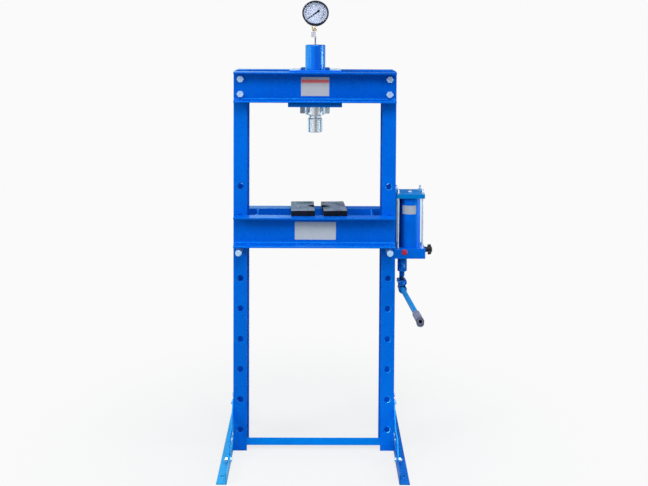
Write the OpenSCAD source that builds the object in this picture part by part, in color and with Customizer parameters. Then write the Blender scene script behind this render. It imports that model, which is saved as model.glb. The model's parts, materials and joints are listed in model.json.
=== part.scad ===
// H-frame hydraulic workshop press with a hand pump on the right post.
// Origin: on the floor, on the ram axis, midway between the posts. +X right, +Y back, +Z up. Millimetres.

/* [Frame] */
// Height of the posts
frame_h = 1540; // [1280:10:1850]
// Width over the outer faces of the two posts
frame_w = 650; // [540:10:780]
// Depth of the rolled channel used for posts, top beam and bed
channel_h = 120; // [100:1:144]
// Flange width of the channel
channel_b = 55; // [46:1:66]
// Web thickness of the channel
web_t = 6; // [4:0.5:8]
// Flange thickness of the channel
flange_t = 7; // [5:0.5:9]
// Length of each foot, front to back
foot_len = 656; // [546:2:788]
// Leg width of the foot angle
foot_leg = 40; // [34:1:48]
// Thickness of the foot angle
foot_t = 5; // [4:0.5:6]

/* [Bed] */
// Distance between the pin holes of a post
hole_pitch = 124; // [110:1:130]
// Number of pin holes in each flange
hole_count = 9; // [8:1:9]
// Height of the lowest pin hole
first_hole_z = 87; // [80:1:100]
// Hole, counted from the floor, that carries the bed
bed_level = 7; // [2:1:7]
// Diameter of the bed pins
pin_d = 25; // [20:1:28]
// Length of the bed pins
pin_len = 300; // [260:5:360]
// Thickness of the V-blocks
v_block_t = 22; // [15:1:25]

/* [Head] */
// Outer diameter of the cylinder
cylinder_d = 81; // [72:1:90]
// Height of the cylinder above the head plate
cylinder_h = 225; // [200:1:260]
// Bore of the cylinder
bore_d = 58; // [50:1:60]
// Diameter of the ram
ram_d = 50; // [40:1:52]
// Diameter of the pressing head on the ram
ram_head_d = 58.6; // [50:0.2:70]
// Height of the pressing head
ram_head_h = 55; // [40:1:70]
// Thickness of the head plate below the beam
head_plate_t = 18; // [12:1:22]
// Outer diameter of the gauge bezel
gauge_d = 108; // [90:1:130]

/* [Pump] */
// Width of the pump block, away from the post
block_w = 122; // [110:1:140]
// Height of the pump block
block_h = 40; // [36:1:48]
// Outer diameter of the oil tank
tank_d = 90; // [76:1:92]
// Height of the oil tank
tank_h = 204; // [170:1:245]
// Diameter of the pump plunger
plunger_d = 14; // [12:1:16]
// Outer diameter of the handle tube
handle_d = 20; // [17:1:21]
// Length from the lever's fulcrum to the end of the grip
handle_len = 537; // [450:1:645]

/* [Hidden] */
$fn = 64;

// Colours
blue = [0.0, 0.32, 0.85];
zinc = [0.78, 0.80, 0.82];
steel = [0.62, 0.63, 0.65];
dark = [0.12, 0.12, 0.13];
brass = [0.78, 0.65, 0.36];

// General clearances
eps = 0.5;          // how far a cutting tool runs past a face
hair = 0.05;        // radial gap of a shaft in its bush and of a bolt in its nut
free_gap = 0.3;     // gap between pieces that move past each other
bolt_gap = 0.5;     // radial gap of a bolt in its hole

// Channel profile
root_r = 8;
toe_r = 3;
post_x = frame_w / 2;           // outer face of a post
post_y = channel_h / 2;         // outer face of a post's flange
web_x = post_x - web_t;         // inner face of a post's web
hole_x = post_x - channel_b / 2;

// Fasteners: diameter, width across flats, head height, nut height
m16 = [16, 24, 10, 13];
m10 = [10, 16, 6.4, 8.4];
m8 = [8, 13, 5.3, 6.5];
m10_long_nut = 30;
m10_long_af = 17;

// Top beam
beam_inset = 3.5;               // ends of the channels stand back from the posts' outer faces
beam_len = frame_w - 2 * beam_inset;
beam_z0 = frame_h - channel_h;
beam_mid = frame_h - channel_h / 2;
beam_bolt_dz = channel_h / 4;

// Bed
bed_gap = 1;                    // gap between the bed's webs and the posts
bed_y = post_y + bed_gap;       // face of a bed web towards the post
pin_z = first_hole_z + (bed_level - 1) * hole_pitch;
bed_z0 = pin_z + pin_d / 2 + free_gap;
bed_top = bed_z0 + channel_h;
spacer_t = 8;
spacer_x = hole_x - channel_b / 2 - 40;
v_block_w = 94.5;
v_block_l = 184;
v_notch = 34;
v_mouth = 52;
v_chamfer = 1.5;

// Feet and braces
foot_bolt_y = channel_h / 5;
foot_bolt_z = 25;
foot_x = post_x + foot_t;       // outer face of a foot's upright leg
anchor_d = 12;
anchor_x = foot_x + (foot_leg - foot_t) * 0.46;
anchor_y = foot_len / 2 - 55;
brace_w = 28;
brace_t = 5;
brace_low = [185, 24.5];          // distance from the ram axis in Y, and height, of the lower bolt
brace_top = [36, 190];
brace_joggle = 30;

// Lower crossbar, an angle between the posts
bar_leg = 30;
bar_t = 4;
bar_z0 = 19.5;
bar_y = post_y - flange_t - 0.5;
bar_tab = 34;
bar_tab_h = 48;
bar_nut_clear = 10.5;           // from a nut's axis to the edge of the angle coped round it

// Head plates
plate_w = 214;
plate_l = 206;
upper_plate_w = 206;
upper_plate_l = 150;
upper_plate_t = 5;
plate_gap = 3.5;
tie_x = 50;
tie_y = 45;

// Cylinder and ram
neck_d = bore_d + 12;
shoulder_z = beam_z0;
cyl_top = shoulder_z + cylinder_h;
cap_t = 25;
bore_top = cyl_top - cap_t;
plate_z0 = beam_z0 - head_plate_t;
collar_h = 42;
collar_z0 = plate_z0 - collar_h;
collar_d = neck_d + 14;
collar_cone_h = 5.5;            // height of the cone below the collar's cylindrical part
collar_foot_d = ram_d + 5;      // diameter of the flat at the bottom of the cone
lip_h = 12;
neck_z0 = collar_z0 + lip_h + 5;
bush_h = 25;
piston_h = 25;
piston_top = bore_top - 8;
piston_z0 = piston_top - piston_h;
seal_h = 7;
seal_t = 4;
ram_z0 = collar_z0 - 11;
ram_gap = 2;                    // dark gap between the ram and its pressing head
spigot_d = 24;
spigot_l = 13;
ram_floor = 16;                 // solid end of the hollow ram
ram_bore_d = 34;
spring_d = 28;
spring_wire = 3.5;
spring_turns = 30;
spring_steps = 10;
spring_sides = 6;
port_d = 8;
port_z = bore_top - 4;
boss_d = 26;
boss_l = 8;
adapter_af = 19;
adapter_l = 24;

// Gauge
gauge_tilt = 23;
gauge_roll = 7;
gauge_c = [0, 15, cyl_top + 74 + gauge_d / 2];
gauge_r = gauge_d / 2;
case_r = gauge_r - 4;
case_back = 22;
case_wall = 1.5;
rim_z = 4;
glass_t = 2;
dial_t = 1;
dial_z = -3;
zero_angle = 225;
stem_d = 7;
stem_h = 31;
coupler = [21, 16, 23];
coupler_x = -8.5;
elbow_d = 11;
gauge_stem_d = 13;
gauge_stem_l = case_r + 12;
stem_z = -11;                   // the gauge's stem lies behind the dial
stem_in = 9;                    // how far the steel stem reaches into the coupler
plug_d = 20;
plug_neck_d = 12;

// Pump
pump_x = post_x + block_w / 2;
block_l = 112;
block_z0 = 787;
block_top = block_z0 + block_h;
tank_top = block_top + tank_h;
top_plate_w = 116;
top_plate_t = 17;
rod_d = 8;
stud_x = 49;
stud_y = 47;
rod_depth = 15;
rod_over = 18;
tank_wall = 3;
mount_bolt_y = 30;
mount_bolt_z = block_z0 + block_h / 2;
mount_depth = 22;
knob_z = block_z0 + 24;
valve_d = 12;
cap_x = pump_x - 24;
cap_z = block_z0 + 27;
cap_d = 23;

// Pump barrel, lever and handle, in a frame turned about the barrel's axis
barrel_x = pump_x - 29;
barrel_y = -22;
handle_yaw = 2;
handle_rest = 4;                // lift of the handle at rest, in degrees
barrel_d = 38;
barrel_h = 57;
neck_h = 22;
gland_d = 20;
spigot_top = 15;
arm = 30;                       // fulcrum to plunger pin
fulcrum_z = block_z0 - 105;
pin2_d = 9;
eye_r = 9.5;
eye_run = 3.1;                  // how far the pin moves along the slotted eye
eye_gap = 0.4;
tongue_t = plunger_d;
ear_t = 9.7;
ear_in = tongue_t / 2 + free_gap;
ear_out = ear_in + ear_t;
waist_w = 24;
web_front = arm + 19;           // front face of the web that joins the ears
web_back = arm + 14.3;
web_low = -13;
web_high = 5;
socket_z = -27;                 // handle axis below the line of the pins
socket_d = handle_d + 8;
socket_flare_d = handle_d + 14;
socket_front = -52;
grip_l = 110;
grip_d = 28;
tube_wall = 2;
tube_in = -6;
plunger_z = fulcrum_z + arm * sin(handle_rest);

// ---------- shared shapes ----------

// Points on an arc about c, from angle a0 to a1
function arc(c, r, a0, a1, n = 6) =
    [for (i = [0:n]) c + r * [cos(a0 + (a1 - a0) * i / n), sin(a0 + (a1 - a0) * i / n)]];

// Channel section: back of the web on the Y axis, flanges towards +X
module channel_2d() {
    h = channel_h / 2;
    b = channel_b;
    inner = h - flange_t;
    polygon(concat(
        [[0, -h], [b, -h]],
        arc([b - toe_r, -inner - toe_r], toe_r, 0, 90),
        arc([web_t + root_r, -inner + root_r], root_r, 270, 180),
        arc([web_t + root_r, inner - root_r], root_r, 180, 90),
        arc([b - toe_r, inner + toe_r], toe_r, 270, 360),
        [[b, h], [0, h]]));
}

// Angle section: outer corner at the origin, legs along +X and +Y
module angle_2d(leg_x, leg_y, t) {
    r = t;
    polygon(concat(
        [[0, 0], [leg_x, 0]],
        arc([leg_x - t / 2, t / 2], t / 2, 0, 90, 4),
        arc([t + r, t + r], r, 270, 180, 4),
        arc([t / 2, leg_y - t / 2], t / 2, 0, 90, 4),
        [[0, leg_y]]));
}

// Rounded rectangle, centred
module round_rect(w, l, r) {
    x = w / 2 - r;
    y = l / 2 - r;
    polygon(concat(arc([x, y], r, 0, 90), arc([-x, y], r, 90, 180), arc([-x, -y], r, 180, 270),
        arc([x, -y], r, 270, 360)));
}

// Slot with round ends between two points on the X axis
module slot_2d(x0, x1, r) {
    translate([x0, 0])
        circle(r = r);
    translate([x1, 0])
        circle(r = r);
    translate([x0, -r])
        square([x1 - x0, 2 * r]);
}

// Hexagonal prism with chamfered corners at the top
module hex_prism(af, h) {
    corner = af / cos(30);
    drop = (corner - af) / 2 * tan(30);
    intersection() {
        cylinder(d = corner, h = h, $fn = 6);
        union() {
            cylinder(d = corner + 1, h = h - drop);
            translate([0, 0, h - drop])
                cylinder(d1 = corner, d2 = af, h = drop);
        }
    }
}

// Hexagon bolt: head above z = 0, shank below
module hex_bolt(m, len) {
    dish = m[2] / 8;
    difference() {
        hex_prism(m[1], m[2]);
        translate([0, 0, m[2] - dish])
            cylinder(d = m[1] / 2, h = dish + eps);
    }
    translate([0, 0, -len])
        cylinder(d = m[0], h = len);
}

// Hexagon nut above z = 0
module hex_nut(m, h) {
    difference() {
        hex_prism(m[1], h);
        translate([0, 0, -eps])
            cylinder(d = m[0] + 2 * hair, h = h + 2 * eps);
    }
}

// Cylinder along X, from x0 to x1
module rod_x(x0, x1, d) {
    translate([x0, 0, 0])
        rotate([0, 90, 0])
            cylinder(d = d, h = x1 - x0);
}

// Cylinder along Y, from y0 to y1
module rod_y(y0, y1, d) {
    translate([0, y1, 0])
        rotate([90, 0, 0])
            cylinder(d = d, h = y1 - y0);
}

// Cylinder between two points
module rod_between(a, b, d) {
    v = b - a;
    translate(a)
        rotate([0, acos(v[2] / norm(v)), atan2(v[1], v[0])])
            cylinder(d = d, h = norm(v));
}

// ---------- frame ----------

module post_blank() {
    linear_extrude(frame_h)
        channel_2d();
}

// A post seen with its web at x = 0 and its flanges towards +X
module post_drilled(pump_side) {
    difference() {
        post_blank();
        for (k = [0:hole_count - 1])
            translate([channel_b / 2, 0, first_hole_z + k * hole_pitch])
                rod_y(-post_y - eps, post_y + eps, pin_d + 2 * free_gap);
        for (s = [-1, 1]) {
            translate([channel_b / 2, 0, beam_mid + s * beam_bolt_dz])
                rod_y(-post_y - eps, post_y + eps, m16[0] + 2 * bolt_gap);
            translate([0, s * foot_bolt_y, foot_bolt_z])
                rod_x(-eps, web_t + eps, m10[0] + 2 * bolt_gap);
            translate([0, s * brace_top[0], brace_top[1]])
                rod_x(-eps, web_t + eps, m10[0] + 2 * bolt_gap);
            if (pump_side)
                translate([0, s * mount_bolt_y, mount_bolt_z])
                    rod_x(-eps, web_t + eps, m10[0] + 2 * bolt_gap);
        }
    }
}

module post_left() {
    color(blue)
        translate([-post_x, 0, 0])
            post_drilled(false);
}

module post_right() {
    color(blue)
        translate([post_x, 0, 0])
            mirror([1, 0, 0])
                post_drilled(true);
}

// Right-hand foot: angle with its upright leg against the post's web
module foot_right() {
    color(blue)
        difference() {
            translate([post_x, foot_len / 2, 0])
                rotate([90, 0, 0])
                    linear_extrude(foot_len)
                        angle_2d(foot_leg, foot_leg, foot_t);
            for (s = [-1, 1]) {
                translate([anchor_x, s * anchor_y, -eps])
                    cylinder(d = anchor_d, h = foot_t + 2 * eps);
                translate([post_x, s * foot_bolt_y, foot_bolt_z])
                    rod_x(-eps, foot_t + eps, m10[0] + 2 * bolt_gap);
                translate([post_x, s * brace_low[0], brace_low[1]])
                    rod_x(-eps, foot_t + eps, m10[0] + 2 * bolt_gap);
            }
        }
}

module foot_left() {
    mirror([1, 0, 0])
        foot_right();
}

// Flat bar, right rear: bolted to the outside of the foot, joggled in to meet the post
module brace() {
    run = brace_low - brace_top;
    len = norm(run);
    lean = atan2(-run[1], run[0]);
    end = brace_w / 2;
    color(blue)
        translate([post_x, brace_top[0], brace_top[1]])
            rotate([-lean, 0, 0])
                difference() {
                    intersection() {
                        translate([0, 0, -end])
                            linear_extrude(brace_w)
                                polygon([[0, -end], [brace_t, -end], [brace_t, len / 2],
                                    [brace_t + foot_t, len / 2 + brace_joggle], [brace_t + foot_t, len + end],
                                    [foot_t, len + end], [foot_t, len / 2 + brace_joggle], [0, len / 2]]);
                        rotate([90, 0, 90])
                            linear_extrude(brace_t + foot_t)
                                slot_2d(0, len, end);
                    }
                    for (y = [0, len])
                        translate([0, y, 0])
                            rod_x(-eps, brace_t + foot_t + eps, m10[0] + 2 * bolt_gap);
                }
}

module brace_rear_right() {
    brace();
}

module brace_rear_left() {
    mirror([1, 0, 0])
        brace();
}

module brace_front_right() {
    mirror([0, 1, 0])
        brace();
}

module brace_front_left() {
    mirror([1, 0, 0])
        mirror([0, 1, 0])
            brace();
}

// Angle across the feet, behind the front flanges, with a bolting tab at each end
module lower_crossbar() {
    cope = root_r + 1;
    nut_room = bar_t + m10[3] + 10;
    color(blue)
        difference() {
            union() {
                difference() {
                    translate([-web_x, -bar_y, bar_z0])
                        rotate([90, 0, 90])
                            linear_extrude(2 * web_x)
                                angle_2d(bar_leg, bar_leg, bar_t);
                    for (s = [-1, 1]) {
                        translate([s * web_x - cope, -bar_y - eps, bar_z0 - eps])
                            cube([2 * cope, cope + eps, bar_leg + 2 * eps]);
                        translate([s * web_x - nut_room, -foot_bolt_y - bar_nut_clear, bar_z0 - eps])
                            cube([2 * nut_room, bar_leg, bar_leg]);
                    }
                }
                for (s = [0, 1])
                    mirror([s, 0, 0])
                        translate([web_x - bar_t, -bar_y + cope, foot_bolt_z - bar_tab_h / 3])
                            cube([bar_t, bar_tab, bar_tab_h]);
            }
            for (s = [-1, 1])
                translate([s * web_x, -foot_bolt_y, foot_bolt_z])
                    rod_x(-bar_t - eps, bar_t + eps, m10[0] + 2 * bolt_gap);
        }
}

// Channel lying along X with the back of its web on the XZ plane and its flanges towards +Y
module long_channel(len) {
    rotate([90, 0, 90])
        linear_extrude(len, center = true)
            channel_2d();
}

module top_channel_rear() {
    color(blue)
        difference() {
            translate([0, post_y, beam_mid])
                long_channel(beam_len);
            for (sx = [-1, 1], sz = [-1, 1])
                translate([sx * hole_x, post_y, beam_mid + sz * beam_bolt_dz])
                    rod_y(-eps, web_t + eps, m16[0] + 2 * bolt_gap);
        }
}

module top_channel_front() {
    mirror([0, 1, 0])
        top_channel_rear();
}

// M16 bolts from the beam's webs through the posts' flanges, heads on the outside
module beam_bolts() {
    color(zinc)
        for (sx = [-1, 1], sz = [-1, 1], m = [0, 1])
            mirror([0, m, 0])
                translate([sx * hole_x, post_y + web_t, beam_mid + sz * beam_bolt_dz])
                    rotate([-90, 0, 0])
                        hex_bolt(m16, web_t + flange_t + m16[3] + 3);
}

// M16 nuts of the beam's bolts, inside the posts
module beam_nuts() {
    for (sx = [-1, 1], sz = [-1, 1], m = [0, 1])
        mirror([0, m, 0])
            translate([sx * hole_x, post_y - flange_t, beam_mid + sz * beam_bolt_dz])
                rotate([90, 0, 0])
                    hex_nut(m16, m16[3]);
}

// M10 bolts of the feet, the braces and the pump, on the right side
module m10_bolts_right() {
    for (s = [-1, 1]) {
        translate([foot_x, s * foot_bolt_y, foot_bolt_z])
            rotate([0, 90, 0])
                hex_bolt(m10, foot_t + web_t + bar_t + m10[3] + 3);
        translate([post_x, s * brace_low[0], brace_low[1]])
            rotate([0, -90, 0])
                hex_bolt(m10, foot_t + brace_t + m10[3] + 4);
        translate([post_x + brace_t, s * brace_top[0], brace_top[1]])
            rotate([0, 90, 0])
                hex_bolt(m10, brace_t + web_t + m10[3] + 3);
    }
}

module frame_bolts() {
    color(zinc) {
        for (m = [0, 1])
            mirror([m, 0, 0])
                m10_bolts_right();
        for (s = [-1, 1])
            translate([web_x, s * mount_bolt_y, mount_bolt_z])
                rotate([0, -90, 0])
                    hex_bolt(m10, web_t + mount_depth - 2);
    }
}

// M10 nuts of the feet and braces, on the right side
module m10_nuts_right() {
    for (s = [-1, 1]) {
        translate([s < 0 ? web_x - bar_t : web_x, s * foot_bolt_y, foot_bolt_z])
            rotate([0, -90, 0])
                hex_nut(m10, m10[3]);
        translate([foot_x + brace_t, s * brace_low[0], brace_low[1]])
            rotate([0, 90, 0])
                hex_nut(m10, m10[3]);
        translate([web_x, s * brace_top[0], brace_top[1]])
            rotate([0, -90, 0])
                hex_nut(m10, m10[3]);
    }
}

module frame_nuts() {
    color(zinc) {
        beam_nuts();
        for (m = [0, 1])
            mirror([m, 0, 0])
                m10_nuts_right();
    }
}

// ---------- head ----------

module clamp_plate(w, l, t, hole) {
    linear_extrude(t)
        difference() {
            round_rect(w, l, 3);
            circle(d = hole);
            for (sx = [-1, 1], sy = [-1, 1])
                translate([sx * tie_x, sy * tie_y])
                    circle(d = m10[0] + 2 * bolt_gap);
        }
}

module head_plate() {
    color(blue)
        translate([0, 0, plate_z0])
            clamp_plate(plate_w, plate_l, head_plate_t, neck_d + 2 * free_gap);
}

module upper_plate() {
    color(blue)
        translate([0, 0, frame_h])
            clamp_plate(upper_plate_w, upper_plate_l, upper_plate_t, cylinder_d + 2 * plate_gap);
}

module tie_bolts() {
    color(zinc)
        for (sx = [-1, 1], sy = [-1, 1])
            translate([sx * tie_x, sy * tie_y, frame_h + upper_plate_t])
                hex_bolt(m10, upper_plate_t + channel_h + head_plate_t + m10_long_nut - 4);
}

module tie_nuts() {
    color(zinc)
        for (sx = [-1, 1], sy = [-1, 1])
            translate([sx * tie_x, sy * tie_y, plate_z0])
                mirror([0, 0, 1])
                    rotate([0, 0, 20 + 10 * sx])
                        hex_nut([m10[0], m10_long_af], m10_long_nut);
}

// Cylinder turned from one bar, with a threaded neck through the head plate and an oil port at the back
module cylinder_body() {
    r = cylinder_d / 2;
    c = 2;
    color(blue)
        difference() {
            union() {
                rotate_extrude()
                    polygon([[bore_d / 2, neck_z0], [neck_d / 2, neck_z0], [neck_d / 2, shoulder_z],
                        [r, shoulder_z], [r, cyl_top - c], [r - c, cyl_top], [0, cyl_top], [0, bore_top],
                        [bore_d / 2, bore_top]]);
                translate([0, 0, port_z])
                    rod_y(bore_d / 2 + 2, r + boss_l, boss_d);
            }
            translate([0, 0, port_z])
                rod_y(0, r + boss_l + eps, port_d);
            translate([0, 0, bore_top - eps])
                cylinder(d = stem_d + 2 * hair, h = cap_t + 2 * eps);
            translate([0, 0, bore_top - 10])
                cylinder(d = bore_d, h = 10);
        }
}

module gland_bush() {
    color(brass)
        translate([0, 0, collar_z0 + lip_h])
            difference() {
                cylinder(d = bore_d - 2 * hair, h = bush_h);
                translate([0, 0, -eps])
                    cylinder(d = ram_d + 2 * hair, h = bush_h + 2 * eps);
            }
}

// Ring nut that clamps the cylinder to the head plate, coned below, with a lip below the bush and a groove
// for the wiper
module lock_collar() {
    r = collar_d / 2;
    groove_r = ram_d / 2 + 3;
    color(steel)
        difference() {
            rotate_extrude()
                polygon([[ram_d / 2 + 1, collar_z0], [collar_foot_d / 2, collar_z0],
                    [r, collar_z0 + collar_cone_h], [r, plate_z0],
                    [neck_d / 2 + hair, plate_z0], [neck_d / 2 + hair, collar_z0 + lip_h],
                    [ram_d / 2 + 1, collar_z0 + lip_h], [ram_d / 2 + 1, collar_z0 + 9],
                    [groove_r, collar_z0 + 9],
                    [groove_r, collar_z0 + 3], [ram_d / 2 + 1, collar_z0 + 3]]);
            set_screw_place()
                rod_y(-r - eps, -neck_d / 2 + eps, 6);
        }
}

module set_screw_place() {
    translate([0, 0, collar_z0 + 16])
        rotate([0, 0, -62])
            children();
}

module collar_set_screw() {
    color(dark)
        set_screw_place()
            difference() {
                rod_y(-collar_d / 2 + 0.5, -neck_d / 2 - hair, 6 - 2 * hair);
                translate([0, -collar_d / 2, 0])
                    rotate([-90, 0, 0])
                        cylinder(d = 3.4, h = 2.4, $fn = 6);
            }
}

module rod_wiper() {
    color(dark)
        translate([0, 0, collar_z0 + 3])
            difference() {
                cylinder(d = ram_d + 6 - 2 * hair, h = 6);
                translate([0, 0, -eps])
                    cylinder(d = ram_d + 2 * hair, h = 6 + 2 * eps);
            }
}

// Hollow ram with its piston: the return spring hangs in the bore
module ram() {
    r = ram_d / 2;
    piston_r = bore_d / 2 - free_gap;
    seal_z0 = piston_z0 + (piston_h - seal_h) / 2;
    color(steel)
        rotate_extrude()
            polygon([[spigot_d / 2 + hair, ram_z0], [r, ram_z0], [r, piston_z0], [piston_r, piston_z0],
                [piston_r, seal_z0], [piston_r - seal_t, seal_z0], [piston_r - seal_t, seal_z0 + seal_h],
                [piston_r, seal_z0 + seal_h], [piston_r, piston_top], [ram_bore_d / 2, piston_top],
                [ram_bore_d / 2, ram_z0 + ram_floor], [0, ram_z0 + ram_floor],
                [0, ram_z0 + spigot_l], [spigot_d / 2 + hair, ram_z0 + spigot_l]]);
}

module piston_seal() {
    inner = bore_d - 2 * free_gap - 2 * seal_t;
    color(dark)
        translate([0, 0, piston_z0 + (piston_h - seal_h) / 2])
            difference() {
                cylinder(d = bore_d - 2 * hair, h = seal_h);
                translate([0, 0, -eps])
                    cylinder(d = inner + 2 * hair, h = seal_h + 2 * eps);
            }
}

// Pressing head: chamfered plug whose spigot sits in the end of the ram
module ram_head() {
    r = ram_head_d / 2;
    top = ram_z0 - ram_gap;
    c = 2;
    color(steel)
        rotate_extrude()
            polygon([[0, top - ram_head_h], [r - c, top - ram_head_h], [r, top - ram_head_h + c], [r, top - c],
                [r - c, top], [spigot_d / 2, top], [spigot_d / 2, ram_z0 + spigot_l - free_gap],
                [0, ram_z0 + spigot_l - free_gap]]);
}

// One ring of the spring's wire, at step i
function spring_ring(i, z0, rise) =
    let (a = 360 * i / spring_steps, R = (spring_d - spring_wire) / 2, z = z0 + rise * i / spring_steps)
    [for (k = [0:spring_sides - 1])
        let (b = 360 * k / spring_sides, q = R + spring_wire / 2 * cos(b))
        [q * cos(a), q * sin(a), z + spring_wire / 2 * sin(b)]];

// Return spring, hung from the cylinder's cap and held at the foot of the hollow ram
module return_spring() {
    z0 = ram_z0 + ram_floor + spring_wire / 2 + free_gap;
    z1 = bore_top - spring_wire / 2 - free_gap;
    n = spring_turns * spring_steps;
    rise = (z1 - z0) / spring_turns;
    s = spring_sides;
    points = [for (i = [0:n]) each spring_ring(i, z0, rise)];
    sides = [for (i = [0:n - 1], k = [0:s - 1])
        [i * s + k, (i + 1) * s + k, (i + 1) * s + (k + 1) % s, i * s + (k + 1) % s]];
    ends = [[for (k = [0:s - 1]) k], [for (k = [s - 1:-1:0]) n * s + k]];
    color(steel)
        polyhedron(points, concat(sides, ends));
}

// Threaded adapter of the oil line: hexagon, then a nipple with its bore
module hose_adapter() {
    difference() {
        union() {
            rotate([-90, 0, 0])
                hex_prism(adapter_af, 9);
            rod_y(0, adapter_l, 13);
        }
        rod_y(-eps, adapter_l + eps, port_d - 2);
    }
}

module hose_adapters() {
    color(zinc) {
        translate([0, cylinder_d / 2 + boss_l, port_z])
            hose_adapter();
        translate([pump_x, block_l / 2, block_z0 + block_h / 2])
            hose_adapter();
    }
}

// ---------- gauge ----------

// Dial frame: x right, y up the dial, z out of the dial towards the reader
module gauge_frame(roll = -gauge_roll) {
    translate(gauge_c)
        rotate([90 - gauge_tilt, 0, 0])
            rotate([0, 0, roll])
                children();
}

// A point of the dial frame in the part's frame
function from_dial(p) =
    let (a = -gauge_roll, x = p[0] * cos(a) - p[1] * sin(a), y = p[0] * sin(a) + p[1] * cos(a))
    gauge_c + [x, y * sin(gauge_tilt) - p[2] * cos(gauge_tilt), y * cos(gauge_tilt) + p[2] * sin(gauge_tilt)];

// Steel tube from the cylinder's cap up into the coupler
module gauge_stem() {
    color(zinc)
        translate([0, 0, bore_top + 5])
            difference() {
                cylinder(d = stem_d, h = cyl_top - bore_top - 5 + stem_h + stem_in);
                translate([0, 0, -eps])
                    cylinder(d = 3, h = cyl_top + stem_h);
            }
}

module gauge_coupler() {
    color([0.80, 0.80, 0.78])
        translate([0, 0, cyl_top + stem_h])
            difference() {
                translate([coupler_x, 0, 0])
                    linear_extrude(coupler[2])
                        round_rect(coupler[0], coupler[1], 2);
                translate([0, 0, -eps])
                    cylinder(d = 3, h = coupler[2] + 2 * eps);
                translate([0, 0, -eps])
                    cylinder(d = stem_d + 2 * hair, h = stem_in + eps);
            }
}

// Bent brass fitting: foot on the coupler, a bulge at each bend, hexagon that takes the gauge's stem
module gauge_elbow() {
    foot = [0, 0, cyl_top + stem_h + coupler[2]];
    knee = foot + [0, 0, elbow_d / 2 + 1];
    top = from_dial([0, -gauge_stem_l - elbow_d / 2, stem_z]);
    color(brass) {
        translate(foot)
            cylinder(d = elbow_d - 1, h = elbow_d / 2 + 1);
        translate(knee)
            sphere(d = elbow_d + 0.6);
        rod_between(knee, top, elbow_d - 1);
        translate(top)
            sphere(d = elbow_d + 0.6);
        gauge_frame()
            translate([0, -gauge_stem_l - elbow_d / 2, stem_z]) {
                rod_y(0, elbow_d / 2 + 1, elbow_d - 1);
                translate([0, elbow_d / 2, 0])
                    difference() {
                        rotate([-90, 0, 0])
                            hex_prism(gauge_stem_d + 1, 9);
                        rod_y(2, 9 + eps, gauge_stem_d - 3 + 2 * hair);
                    }
            }
    }
}

// Stem and socket of the gauge with its bourdon tube, behind the dial
module gauge_movement() {
    tube_r = case_r * 0.68;
    thread_d = gauge_stem_d - 3;
    color(brass)
        gauge_frame()
            translate([0, 0, stem_z]) {
                rotate([0, 0, -80])
                    rotate_extrude(angle = 255)
                        translate([tube_r, 0])
                            square([3, 9], center = true);
                translate([-9, -tube_r - 6, -6])
                    cube([18, 14, 12]);
                rod_y(-gauge_stem_l + 9.1, -tube_r, gauge_stem_d);
                rod_y(-gauge_stem_l + 2.5, -case_r, thread_d);
            }
}

module gauge_case() {
    r = case_r;
    w = case_wall;
    color(dark)
        gauge_frame()
            difference() {
                rotate_extrude()
                    polygon(concat([[0, -case_back]], arc([r - 4, -case_back + 4], 4, 270, 360, 4),
                        [[r, rim_z], [r - w, rim_z]], arc([r - 4, -case_back + 4], 4 - w, 360, 270, 4),
                        [[0, -case_back + w]]));
                gauge_case_openings();
            }
}

// Holes in the case's wall for the stem below and the filler plug above
module gauge_case_openings() {
    translate([0, 0, stem_z]) {
        rod_y(-case_r - eps, -case_r + 8, gauge_stem_d + 1);
        rod_y(case_r - 8, case_r + eps, plug_neck_d);
    }
}

// Rubber filler plug in the top of the case, with a groove that takes the case's wall
module gauge_plug() {
    color(dark)
        gauge_frame()
            translate([0, 0, stem_z]) {
                rod_y(case_r - case_wall - 2.5, case_r + 1, plug_neck_d - 2 * hair);
                translate([0, case_r + 0.3, 0])
                    rotate([-90, 0, 0])
                        rotate_extrude()
                            polygon([[0, 0], [plug_d / 2, 0], [plug_d / 2, 4.5], [plug_d / 2 - 2.5, 7.5],
                                [0, 7.5]]);
            }
}

module gauge_bezel() {
    r = gauge_r;
    color(dark)
        gauge_frame()
            rotate_extrude()
                polygon([[case_r + hair, rim_z - 5], [r, rim_z - 5], [r, rim_z + glass_t - 1],
                    [r - 2, rim_z + glass_t + 1.8], [r - 5, rim_z + glass_t + 1.8],
                    [r - 6, rim_z + glass_t + 1], [r - 6, rim_z + glass_t + 0.2],
                    [case_r + hair, rim_z + glass_t + 0.2]]);
}

module gauge_dial() {
    color([0.93, 0.95, 1.0])
        gauge_frame()
            translate([0, 0, dial_z])
                difference() {
                    cylinder(r = case_r - case_wall - 0.1, h = dial_t);
                    translate([0, 0, -eps])
                        cylinder(r = 1.2 + hair, h = dial_t + 2 * eps);
                }
}

module gauge_glass() {
    color([0.9, 0.95, 1.0, 0.3])
        gauge_frame()
            translate([0, 0, rim_z + 0.05])
                cylinder(r = case_r - 0.1, h = glass_t);
}

// Pointer: blade that widens towards its counterweight, and spindle
module gauge_pointer() {
    tip = case_r * 0.78;
    tail = case_r * 0.3;
    t = 0.8;
    z = dial_z + dial_t + 2;
    color(dark)
        gauge_frame(0)
            rotate([0, 0, zero_angle - gauge_roll]) {
                translate([0, 0, z])
                    linear_extrude(t) {
                        polygon([[tip, 0.4], [0, 2.1], [-tail, 2.6], [-tail, -2.6], [0, -2.1], [tip, -0.4]]);
                        translate([-tail, 0])
                            circle(d = 9.5);
                        circle(d = 6);
                    }
                translate([0, 0, dial_z - 4])
                    cylinder(r = 1.2, h = z + t - dial_z + 4.6);
            }
}

// ---------- bed ----------

module bed_channel_rear() {
    color(blue)
        translate([0, bed_y, bed_z0 + channel_h / 2])
            long_channel(beam_len);
}

module bed_channel_front() {
    mirror([0, 1, 0])
        bed_channel_rear();
}

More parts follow.
